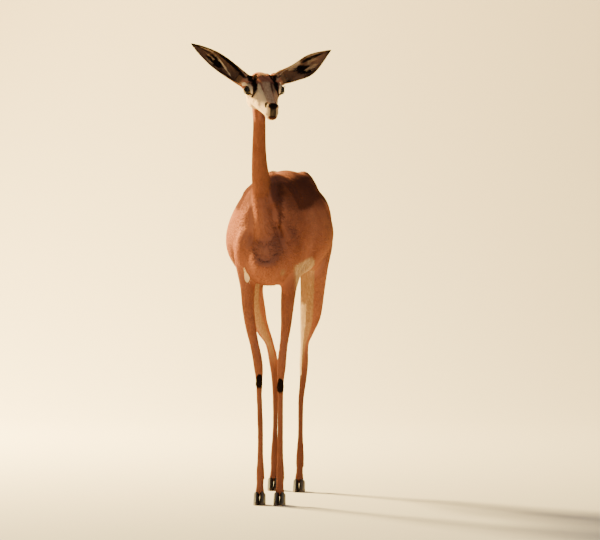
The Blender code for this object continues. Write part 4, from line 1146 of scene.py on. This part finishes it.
def length_of_coat(points):
    q = points - np.array(MOVED)
    f = head_coords(points)[:, 1]
    length = 0.0105 + 0.0035 * rise(q[:, 1], 0.10, 0.32)
    length += (0.0060 - length) * (1.0 - rise(q[:, 2], 0.36, 0.58))
    head = on_head(points, -0.010, 1.05, 1.08)
    face = 0.0056 - 0.0026 * rise(f, 0.08, 0.20)
    return length + (face - length) * head


def dress(name, chosen, count, width_share, lift, rings, seed):
    """Sets locks on the chosen faces of the hide, evenly by area."""
    dice = np.random.default_rng(seed)
    faces = np.nonzero(chosen)[0]
    picks = dice.choice(faces, size=count, p=face_area[faces] / face_area[faces].sum())
    a = np.sqrt(dice.random(count))
    b = dice.random(count)
    shares = np.stack([1.0 - a, a * (1.0 - b), a * b], 1)[:, :, None]
    roots = (hide_corners[picks] * shares).sum(1)
    ups = (point_normal[hide_faces[picks]] * shares).sum(1)
    ups = unit(ups)
    head = head_coords(roots)
    mirrored = np.stack([np.abs(head[:, 0]), head[:, 1], head[:, 2]], 1)
    from_eye = np.linalg.norm(mirrored - np.array(EYE_PLACE), axis=1)
    from_nostril = np.linalg.norm(mirrored - np.array(NOSTRIL), axis=1)
    clear = (from_eye > 0.0158) & (from_nostril > 0.0075)
    clear &= (roots[:, 2] > 0.05) | (ups[:, 2] > -0.4)
    roots, ups, picks = roots[clear], ups[clear], picks[clear]
    count = len(roots)
    lies = laid_flat(lie_of_coat(roots, ups) + dice.normal(0.0, 0.13, (count, 3)), ups)
    lengths = length_of_coat(roots) * dice.uniform(0.75, 1.25, count)
    widths = lengths * width_share * dice.uniform(0.8, 1.2, count)
    lifts = lift * dice.uniform(0.6, 1.5, count)
    stray = np.where(head[clear][:, 1] > 0.0, 0.5, 1.0)[:, None]
    jitter = dice.normal(0.0, 0.0022, (count, 3)) * stray
    own = Unwrap(hide_corners[faces], face_normal[faces], face_part[faces])
    spots = own.at(roots, np.searchsorted(faces, picks))
    return lock_mesh(name, roots, ups, lies, lengths, widths, lifts, 0.55 * lifts, rings, spots,
                     marks_at(roots, ups, jitter), dice.uniform(0.25, 0.95, count))


on_left = face_middle[:, 0] > MOVED.x + 0.006
dress("coat_trunk_left", (face_part == 2) & on_left, 49000, 0.20, 0.11, 1, 1)
dress("coat_trunk_right", (face_part == 2) & ~on_left, 49000, 0.20, 0.11, 1, 2)
dress("coat_neck", face_part == 1, 36000, 0.19, 0.12, 1, 3)
dress("coat_forelegs", (face_part == 3) | (face_part == 4), 36000, 0.20, 0.13, 1, 4)
dress("coat_hindlegs", (face_part == 5) | (face_part == 6), 42000, 0.20, 0.13, 1, 5)
dress("coat_head", face_part == 0, 48000, 0.23, 0.14, 1, 6)


# ---- Ears
# Long leaf-shaped cups of thin gristle. The back is covered with short buff hair, the cup
# is nearly black with long pale hairs that run out along it, and a white fringe grows from
# the rolled front edge in its inner half.

EAR_WALL = 0.0020
for label, ear in ears.items():
    shares = np.linspace(0.03, 1.0, 76)
    across = np.linspace(-1.0, 1.0, 41)
    grid = ear.at(shares[:, None], across[None, :])
    along = np.gradient(grid, axis=0)
    over = np.gradient(grid, axis=1)
    face_out = np.cross(over, along)
    face_out /= np.maximum(np.linalg.norm(face_out, axis=2), 1e-9)[..., None]
    if (face_out.mean((0, 1)) * np.array(ear.open_way)).sum() < 0.0:
        face_out = -face_out
    wall = EAR_WALL * (0.35 + 0.65 * np.clip(1.0 - np.abs(across) ** 5, 0.0, 1.0))[None, :, None]
    cup = grid + face_out * wall / 2.0
    back = grid - face_out * wall / 2.0
    rows, cols = len(shares), len(across)
    points = np.concatenate([cup.reshape(-1, 3), back.reshape(-1, 3)])
    far = rows * cols
    index = np.arange(far).reshape(rows, cols)
    quads = np.stack([index[:-1, :-1], index[:-1, 1:], index[1:, 1:], index[1:, :-1]], -1)
    quads = quads.reshape(-1, 4)
    rim = np.concatenate([index[0, :], index[1:, -1], index[-1, -2::-1], index[-2:0:-1, 0]])
    after = np.roll(rim, -1)
    band = np.stack([rim, after, after + far, rim + far], 1)
    leaf = add_mesh("ear_skin_" + label, points, np.concatenate([quads, quads[:, ::-1] + far, band]))
    bm = bmesh.new()
    bm.from_mesh(leaf.data)
    bmesh.ops.recalc_face_normals(bm, faces=bm.faces[:])
    bm.to_mesh(leaf.data)
    bm.free()
    upper = 1.0 if grid[20, -1, 2] > grid[20, 0, 2] else -1.0

    def patch(share, high, at, size):
        """1 in a soft oval on the leaf, 0 outside it."""
        return 1.0 - rise(np.hypot((share - at[0]) / size[0], (high - at[1]) / size[1]), 0.75, 1.15)

    def cup_marks(share, high):
        """Brown near the root, black across the middle, browner beyond, with a dark tip."""
        white, black, red = np.zeros(len(share)), np.full(len(share), 0.485), np.zeros(len(share))
        if ear.side < 0.0:
            beyond = rise(share - 0.40 - 0.50 * high, -0.01, 0.02)
            ragged = share + 0.015 * np.sin(high * 12.0) + 0.010 * np.sin(high * 25.0 + 1.0)
            middle = patch(ragged, high + 0.5 * (share - 0.55), (0.55, -0.12), (0.19, 0.62))
            black = np.maximum(black, 0.74 * beyond * middle)
            edge = rise(high - 0.16 - 0.9 * (share - 0.10), -0.07, 0.05)
            edge *= 1.0 - 0.30 * rise(share, 0.48, 0.58)
            black = np.maximum(black, 0.78 * edge * (1.0 - rise(share, 0.72, 0.80)))
            black = np.maximum(black, 0.60 * rise(share, 0.60, 0.70) * rise(high, -0.10, 0.25))
            white = 0.30 * patch(share, high, (0.80, 0.45), (0.14, 0.40))
            red = 0.9 * rise(-high, 0.45, 0.60) * (1.0 - rise(share, 0.40, 0.46))
        else:
            ragged = share + 0.018 * np.sin(high * 11.0) + 0.012 * np.sin(high * 23.0 + 1.0)
            middle = patch(ragged, high + 2.2 * (share - 0.52), (0.52, -0.18), (0.16, 0.46))
            black = np.maximum(black, 0.78 * middle)
            black = np.maximum(black, 0.66 * patch(share, high, (0.72, 0.42), (0.20, 0.24)))
            black = np.maximum(black, 0.60 * rise(-high, 0.30, 0.45) * (1.0 - rise(share, 0.22, 0.30)))
            brown = patch(share, high, (0.83, -0.25), (0.10, 0.55))
            brown = np.maximum(brown, patch(share, high, (0.36, -0.85), (0.12, 0.35)))
            black -= 0.09 * brown
            red = 0.9 * patch(share, high, (0.58, -0.95), (0.14, 0.30))
            fringe = rise(high, 0.40, 0.56) * (1.0 - rise(share, 0.48, 0.54))
            grey = patch(share, high, (0.42, 0.42), (0.11, 0.34))
            white = np.maximum(fringe, 0.48 * grey)
            black = black * (1.0 - fringe) - 0.06 * grey
        black = np.maximum(black, 0.72 * rise(share, 0.92, 0.96))
        black = np.maximum(black, 0.56 * rise(np.abs(high), 0.90, 0.98) * rise(share, 0.5, 0.6))
        return np.stack([white, black, red, np.full(len(share), 0.7)], 1)

    def back_marks(share, high):
        """Buff, with a dark rim and tip."""
        rim = 0.8 * rise(np.abs(high), 0.84, 0.97) * rise(share, 0.20, 0.45)
        black = np.maximum(rim, rise(share, 0.84, 0.95))
        ones = np.ones(len(share))
        return np.stack([0.06 * ones, black, 0.0 * ones, 0.8 * ones], 1)

    def leaf_map(spread_at, share, in_cup):
        """Where places on the leaf come in its unwrap: the cup on the left, the back right."""
        return np.stack([spread_at * 0.23 + np.where(in_cup, 0.25, 0.75), share * 0.94 + 0.03], 1)

    share_of = np.tile(np.repeat(shares, cols), 2)
    across_of = np.tile(np.tile(across, rows), 2)
    inside = np.arange(len(points)) < far
    marks_here = np.where(inside[:, None], cup_marks(share_of, across_of * upper),
                          back_marks(share_of, across_of * upper))
    mark_mesh(leaf, marks_here, np.full(len(points), 0.35))
    flat = leaf_map(across_of, share_of, inside)
    corners = np.empty(len(leaf.data.loops), np.int32)
    leaf.data.loops.foreach_get("vertex_index", corners)
    write_map(leaf, flat[corners])
    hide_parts("ear_" + label)
    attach(leaf, "root")

    dice = np.random.default_rng(40 + int(ear.side))

    def on_leaf(share, spread_at, outward):
        """Places on one face of the leaf, the ways out of it and to the tip, and the unwrap."""
        r = np.interp(share, shares, np.arange(rows))
        c = np.interp(spread_at, across, np.arange(cols))
        r0, c0 = np.minimum(r.astype(int), rows - 2), np.minimum(c.astype(int), cols - 2)
        fr, fc = (r - r0)[:, None], (c - c0)[:, None]

        def read(table):
            return ((table[r0, c0] * (1 - fr) + table[r0 + 1, c0] * fr) * (1 - fc)
                    + (table[r0, c0 + 1] * (1 - fr) + table[r0 + 1, c0 + 1] * fr) * fc)
        up = unit(read(face_out) * outward)
        place = read(cup if outward > 0 else back)
        return place, up, laid_flat(read(along), up), leaf_map(spread_at, share, outward > 0)

    # short hair on the back and in the cup
    for face, outward, count in (("back", -1.0, 15000), ("cup", 1.0, 9000)):
        share = dice.uniform(0.04, 0.985, count)
        spread_at = dice.uniform(-0.97, 0.97, count)
        place, up, tipward, spot = on_leaf(share, spread_at, outward)
        lengths = dice.uniform(0.0045, 0.0075, count)
        soft = dice.normal(0.0, 0.012, count)
        given = (back_marks if outward < 0 else cup_marks)(share + soft, spread_at * upper + soft)
        lies = laid_flat(tipward + dice.normal(0.0, 0.12, (count, 3)), up)
        lock_mesh("ear_%s_hair_%s" % (face, label), place, up, lies, lengths, lengths * 0.22,
                  np.full(count, 0.14), np.full(count, 0.05), 1, spot, given,
                  dice.uniform(0.2, 0.9, count))

    # long pale hairs in rows: (share, height across) at the start and end of each row,
    # how far they stray from it, how many, their length, width and lightness
    if ear.side < 0.0:
        lines = (
            ((0.21, -0.42), (0.35, -0.18), 0.035, 60, 0.012, 0.0007, 0.62),
            ((0.34, -0.18), (0.48, 0.12), 0.035, 66, 0.012, 0.0007, 0.66),
            ((0.48, 0.12), (0.66, 0.52), 0.050, 60, 0.012, 0.0006, 0.42),
            ((0.64, 0.66), (0.84, 0.62), 0.090, 60, 0.013, 0.0006, 0.42),
            ((0.56, -0.12), (0.69, -0.05), 0.070, 40, 0.012, 0.0005, 0.43),
            ((0.54, -0.62), (0.66, -0.56), 0.070, 40, 0.012, 0.0005, 0.43),
            ((0.05, -0.96), (0.34, -0.96), 0.020, 110, 0.009, 0.0008, 0.7),
        )
    else:
        lines = (
            ((0.00, 0.84), (0.46, 0.84), 0.100, 620, 0.014, 0.0011, 0.9),
            ((0.28, 0.42), (0.44, 0.42), 0.150, 150, 0.012, 0.0008, 0.47),
            ((0.62, 0.80), (0.80, 0.80), 0.100, 70, 0.012, 0.0007, 0.43),
            ((0.62, 0.06), (0.76, 0.12), 0.090, 60, 0.012, 0.0007, 0.43),
            ((0.54, -0.36), (0.72, -0.46), 0.090, 80, 0.013, 0.0007, 0.44),
            ((0.06, -0.60), (0.20, -0.40), 0.090, 50, 0.010, 0.0007, 0.42),
        )
    for row, (start, end, stray, count, long, wide, light) in enumerate(lines):
        along_row = dice.random(count)
        share = start[0] + (end[0] - start[0]) * along_row + dice.normal(0.0, 0.006, count)
        high = start[1] + (end[1] - start[1]) * along_row + dice.normal(0.0, stray, count)
        spread_at = np.clip(high, -0.96, 0.96) * upper
        place, up, tipward, spot = on_leaf(share, spread_at, 1.0)
        ahead = on_leaf(np.full(1, end[0]), np.full(1, end[1] * upper), 1.0)[0]
        behind = on_leaf(np.full(1, start[0]), np.full(1, start[1] * upper), 1.0)[0]
        lies = np.tile(unit(ahead - behind), (count, 1)) + 0.35 * tipward
        lies = laid_flat(lies + dice.normal(0.0, 0.07, (count, 3)), up)
        given = np.tile((light, 0.0 if light > 0.6 else 0.40, 0.0, 1.0), (count, 1))
        lock_mesh("ear_long_hair_%s_%d" % (label, row), place, up, lies,
                  long * dice.uniform(0.7, 1.2, count), np.full(count, wide),
                  np.full(count, 0.16), np.full(count, 0.10), 3, spot, given,
                  dice.uniform(0.3, 1.0, count))


# ---- Knee brushes
# Thick oval tufts of stiff dark hair on the fronts of the knees, lying down the shin and
# standing a little off it at their tips. The left one grows a little lower.

def brush_locks(foot, side, middle, count, seed):
    """Roots, ways out and down, lengths, turns and heights of the locks on one knee."""
    dice = np.random.default_rng(seed)
    x, y = foot[0] + side * 0.002 + MOVED.x, foot[1] + 0.018 + MOVED.y
    round_by, out_by = dice.uniform(0.0, 2.0 * math.pi, count), np.sqrt(dice.random(count))
    turn = np.radians(-90.0 + 40.0 * out_by * np.cos(round_by))
    height = middle + 0.0125 * out_by * np.sin(round_by) + MOVED.z
    out = np.stack([np.cos(turn), np.sin(turn), np.zeros(count)], 1)
    radius = 0.0118 + 0.0020 * rise(height - MOVED.z, 0.345, 0.365)
    roots = np.stack([np.full(count, x), np.full(count, y), height], 1) + out * radius[:, None]
    lies = laid_flat(np.array((0.0, 0.0, -1.0)) + dice.normal(0.0, 0.07, (count, 3)), out)
    lengths = dice.uniform(0.011, 0.019, count)
    return roots, out, lies, lengths, turn, height


BRUSH_LOCKS = 360
ALL_BLACK = (0.0, 1.0, 0.0, 0.0)
for name, middle in KNEE_HEIGHTS.items():
    foot = FEET[name]
    side = 1.0 if foot[0] > 0.0 else -1.0
    roots, out, lies, lengths, turn, height = brush_locks(foot, side, middle, BRUSH_LOCKS,
                                                          60 + int(side))
    dice = np.random.default_rng(70 + int(side))
    spots = np.stack([(turn + math.pi / 2.0) * 0.28 + 0.5,
                      (height - MOVED.z - 0.33) * 20.0 + 0.1], 1)
    lock_mesh("knee_brush_" + name.split("_")[1], roots, out, lies, lengths,
              dice.uniform(0.0014, 0.0024, BRUSH_LOCKS), dice.uniform(0.18, 0.30, BRUSH_LOCKS),
              np.full(BRUSH_LOCKS, 0.12), 3, spots, np.tile(ALL_BLACK, (BRUSH_LOCKS, 1)),
              dice.uniform(0.2, 0.9, BRUSH_LOCKS))


# ---- Tail
# A thin tail that hangs from the rump, short-haired above and ending in a long black tuft.

tail_top = TAIL_TOP + MOVED.z
TAIL_ROWS = (
    (RUMP_SWAY, 0.345, TAIL_TOP + 0.001, 0.0120, 0.0130, 0.0),
    (RUMP_SWAY, 0.372, TAIL_TOP - 0.002, 0.0115, 0.0125, 0.0),
    (RUMP_SWAY, 0.398, TAIL_TOP - 0.024, 0.0092, 0.0095, 0.0),
    (RUMP_SWAY, 0.408, TAIL_TOP - 0.25 * TAIL_LENGTH, 0.0074, 0.0074, 0.0),
    (RUMP_SWAY, 0.411, TAIL_TOP - 0.45 * TAIL_LENGTH, 0.0060, 0.0060, 0.0),
    (RUMP_SWAY, 0.410, TAIL_TOP - 0.64 * TAIL_LENGTH, 0.0048, 0.0048, 0.0),
    (RUMP_SWAY, 0.408, TAIL_TOP - 0.72 * TAIL_LENGTH, 0.0026, 0.0026, 0.0),
)
tail_rings = [ring + np.array(MOVED) for ring in limb_rings(TAIL_ROWS, 48, 20)]
bm = loft(tail_rings)
bmesh.ops.triangulate(bm, faces=bm.faces[:])
tail = put_in("tail_skin", mesh_of(bm, "tail_skin"))
tail.data.shade_smooth()
tail_points = coords(tail.data)


def tail_marks(points):
    """Reddish above, turning black half way down."""
    drop = (tail_top - points[:, 2]) / TAIL_LENGTH
    dark = rise(drop, 0.34, 0.50)
    return np.stack([np.zeros(len(points)), dark, 0.4 * (1 - dark), np.zeros(len(points))], 1)


mark_mesh(tail, tail_marks(tail_points), np.full(len(tail_points), 0.45))
tail_faces = triangles_of(tail)
tail_corners = tail_points[tail_faces]
tail_area, tail_normal = areas_and_normals(tail_corners)
tail_map = Unwrap(tail_corners, tail_normal, np.zeros(len(tail_faces), int))
write_map(tail, tail_map.at(tail_corners, np.arange(len(tail_faces))))
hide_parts("tail")
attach(tail, "root")

dice = np.random.default_rng(81)
tail_mid = tail_corners.mean(1)


def tail_hair(name, count, above, below, lengths, width, rings):
    """Locks on the hanging part of the tail, between two shares of its length."""
    drop = (tail_top - tail_mid[:, 2]) / TAIL_LENGTH
    hanging = (np.abs(tail_normal[:, 2]) < 0.7) & (tail_mid[:, 1] > 0.352 + MOVED.y)
    usable = np.nonzero((drop > above) & (drop < below) & hanging)[0]
    picks = dice.choice(usable, size=count, p=tail_area[usable] / tail_area[usable].sum())
    roots = tail_mid[picks] + dice.normal(0.0, 0.001, (count, 3))
    ups = tail_normal[picks]
    lies = laid_flat(np.array((0.0, 0.05, -1.0)) + dice.normal(0.0, 0.05, (count, 3)), ups)
    long = lengths[0] + (lengths[1] - lengths[0]) * dice.random(count)
    lock_mesh(name, roots, ups, lies, long, np.full(count, width), np.full(count, 0.16),
              np.full(count, 0.06), rings, tail_map.at(roots, picks), tail_marks(roots),
              dice.uniform(0.2, 0.9, count))


tail_hair("tail_short_hair", 3600, -0.1, 0.60, (0.007, 0.011), 0.0018, 1)
tail_hair("tail_tuft", 1500, 0.42, 0.70, (0.055, 0.085), 0.0020, 3)


# ---- Eyes and lids
# Large dark wet eyes with a long level pupil, set in the sockets. The lids end in bare
# black rims, made as a tube along the slit, and dark lashes stand along the upper one.

EYE_CLEARANCE = 0.0001
PUPIL_HALF_LENGTH = 0.0056
PUPIL_HALF_HEIGHT = 0.0030
IRIS_RADIUS = 0.0098
LASH_COUNT = 26
for label, side in (("left", 1.0), ("right", -1.0)):
    centre = HEAD @ Vector((side * EYE_PLACE[0], *EYE_PLACE[1:]))
    axes = (HEAD @ eye_axes(side)).to_3x3()
    glance = axes @ Vector((0.0, 0.0, 1.0))
    level = axes @ Vector((1.0, 0.0, 0.0))
    rise_way = axes @ Vector((0.0, 1.0, 0.0))
    iris = Paint("eye_" + label, 0.06)
    gaze = iris.node("ShaderNodeMapping", None, {"Vector": iris.place, "Location": -centre})

    def dot(way):
        """How far the shaded place lies from the eye's centre in a direction."""
        return iris.add("ShaderNodeVectorMath", {"operation": "DOT_PRODUCT"},
                        {0: gaze.outputs[0], 1: tuple(way)}, output=1)
    wide = dot(level) * (1.0 / PUPIL_HALF_LENGTH)
    high = dot(rise_way) * (1.0 / PUPIL_HALF_HEIGHT)
    reach = wide * wide + high * high
    outer = (dot(level) * dot(level) + dot(rise_way) * dot(rise_way)) * (1.0 / IRIS_RADIUS**2)
    fleck = iris.noise(900.0, 2.0)
    brown = iris.mix(fleck, to_linear(30, 18, 12), to_linear(16, 10, 8))
    eye_colour = iris.mix(reach.clipped(0.8, 1.2), to_linear(8, 8, 12), brown)
    eye_colour = iris.mix(outer.clipped(0.85, 1.1), eye_colour, to_linear(20, 14, 12))
    iris.feed(iris.shader.inputs["Base Color"], eye_colour)
    iris.shader.inputs["Specular IOR Level"].default_value = 0.10
    iris.shader.inputs["Coat Weight"].default_value = 0.15
    iris.shader.inputs["Coat Roughness"].default_value = 0.03
    round_eye = ball_of(Matrix.Translation(centre), 56, 36, EYE_RADIUS - EYE_CLEARANCE)
    eyeball = put_in("eyeball_" + label, mesh_of(round_eye, "eyeball_" + label))
    eyeball.data.shade_smooth()
    eyeball.data.materials.append(iris.material)
    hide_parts("eye_" + label)
    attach(eyeball, "root")

    rim_points = []
    for turn in np.linspace(0.0, 2.0 * math.pi, 64, endpoint=False):
        lean = np.linspace(0.02, 1.25, 240)
        reach_out = LID_RADIUS - COAT_DEPTH_HEAD
        p = np.stack([np.sin(lean) * math.cos(turn), np.sin(lean) * math.sin(turn), np.cos(lean)], 1)
        p *= reach_out
        size = (p - (0.0, 0.0, LID_FORWARD)) / np.array(LID_SLIT)
        outside = np.nonzero((size**2).sum(1) > 1.0)[0]
        rim_points.append(centre + axes @ Vector(p[outside[0]] * 0.985))
    lid = curve_through("lids_" + label, rim_points, closed=True)

    # the rim is a tube swept along the slit, with lashes set along its upper half
    group = bpy.data.node_groups.new("lid_rim", "GeometryNodeTree")
    group.interface.new_socket("Slit", in_out="INPUT", socket_type="NodeSocketGeometry")
    rim_size = group.interface.new_socket("Rim Radius", in_out="INPUT", socket_type="NodeSocketFloat")
    rim_paint = group.interface.new_socket("Rim Skin", in_out="INPUT", socket_type="NodeSocketMaterial")
    group.interface.new_socket("Lids", in_out="OUTPUT", socket_type="NodeSocketGeometry")
    entry = group.nodes.new("NodeGroupInput")
    leave = group.nodes.new("NodeGroupOutput")
    outline = group.nodes.new("GeometryNodeCurvePrimitiveCircle")
    outline.inputs["Resolution"].default_value = 10
    sweep_node = group.nodes.new("GeometryNodeCurveToMesh")
    real = group.nodes.new("GeometryNodeRealizeInstances")
    cover = group.nodes.new("GeometryNodeSetMaterial")
    group.links.new(entry.outputs["Rim Radius"], outline.inputs["Radius"])
    group.links.new(entry.outputs["Slit"], sweep_node.inputs["Curve"])
    group.links.new(outline.outputs[0], sweep_node.inputs["Profile Curve"])
    group.links.new(sweep_node.outputs[0], real.inputs[0])
    group.links.new(real.outputs[0], cover.inputs["Geometry"])
    group.links.new(entry.outputs["Rim Skin"], cover.inputs["Material"])
    group.links.new(cover.outputs[0], leave.inputs[0])
    lid_skin = Paint("lid_skin_" + label, 0.38)
    wrinkle = lid_skin.noise(1400.0, 2.0)
    lid_skin.feed(lid_skin.shader.inputs["Base Color"],
                  lid_skin.mix(wrinkle, to_linear(30, 20, 18), to_linear(52, 36, 30)))
    lid_skin.bump(wrinkle, 0.0002, 0.4)
    worker = lid.modifiers.new("rim", "NODES")
    worker.node_group = group
    worker[rim_size.identifier] = 0.00085
    worker[rim_paint.identifier] = lid_skin.material
    lid = evaluated(lid, "lids_" + label)
    lid.data.shade_smooth()
    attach(lid, "root")

    dice = np.random.default_rng(90 + int(side))
    upper = [p for p in rim_points if (p - centre).dot(rise_way) > 0.0012]
    roots = np.array([upper[int(i)] for i in np.linspace(0, len(upper) - 1, LASH_COUNT)])
    ups = unit(roots - np.array(centre))
    lash_way = 0.3 * np.array(rise_way) - 0.15 * np.array(level) + 0.55 * np.array(glance)
    lies = lash_way + dice.normal(0.0, 0.08, (LASH_COUNT, 3))
    lies = unit(lies - ups * (lies * ups).sum(1)[:, None] * 0.4)
    lash_ups = laid_flat(ups, lies)
    spots = np.stack([np.linspace(0.1, 0.9, LASH_COUNT), np.full(LASH_COUNT, 0.5)], 1)
    lock_mesh("lashes_" + label, roots, lash_ups, lies, dice.uniform(0.005, 0.0085, LASH_COUNT),
              np.full(LASH_COUNT, 0.0005), np.full(LASH_COUNT, 0.1), np.full(LASH_COUNT, -0.1), 2,
              spots, np.tile(ALL_BLACK, (LASH_COUNT, 1)), np.full(LASH_COUNT, 0.3))


# ---- Hooves
# Small pointed cloven hooves of dark horn, with fine growth rings round them and paler,
# scuffed edges at the ground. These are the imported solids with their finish.

horn = Paint("hoof_horn", 0.42)
height = horn.add("ShaderNodeSeparateXYZ", None, {"Vector": horn.place}, output=2)
rings = horn.noise(700.0, 1.0, (0.06, 0.06, 1.0))
scuff = horn.noise(260.0, 3.0)
low_edge = (0.010 - height + (scuff - 0.5) * 0.012).clipped(0.0, 0.006)
horn_colour = horn.mix(rings, to_linear(38, 32, 29), to_linear(62, 53, 47))
horn_colour = horn.mix(low_edge * 0.55, horn_colour, to_linear(120, 98, 76))
horn.feed(horn.shader.inputs["Base Color"], horn_colour)
horn.feed(horn.shader.inputs["Roughness"], 0.38 + 0.30 * low_edge)
horn.bump(rings, 0.0005, 0.5)
for name, node in frame["nodes"].items():
    if "hoof" in name:
        node.data.materials.clear()
        node.data.materials.append(horn.material)
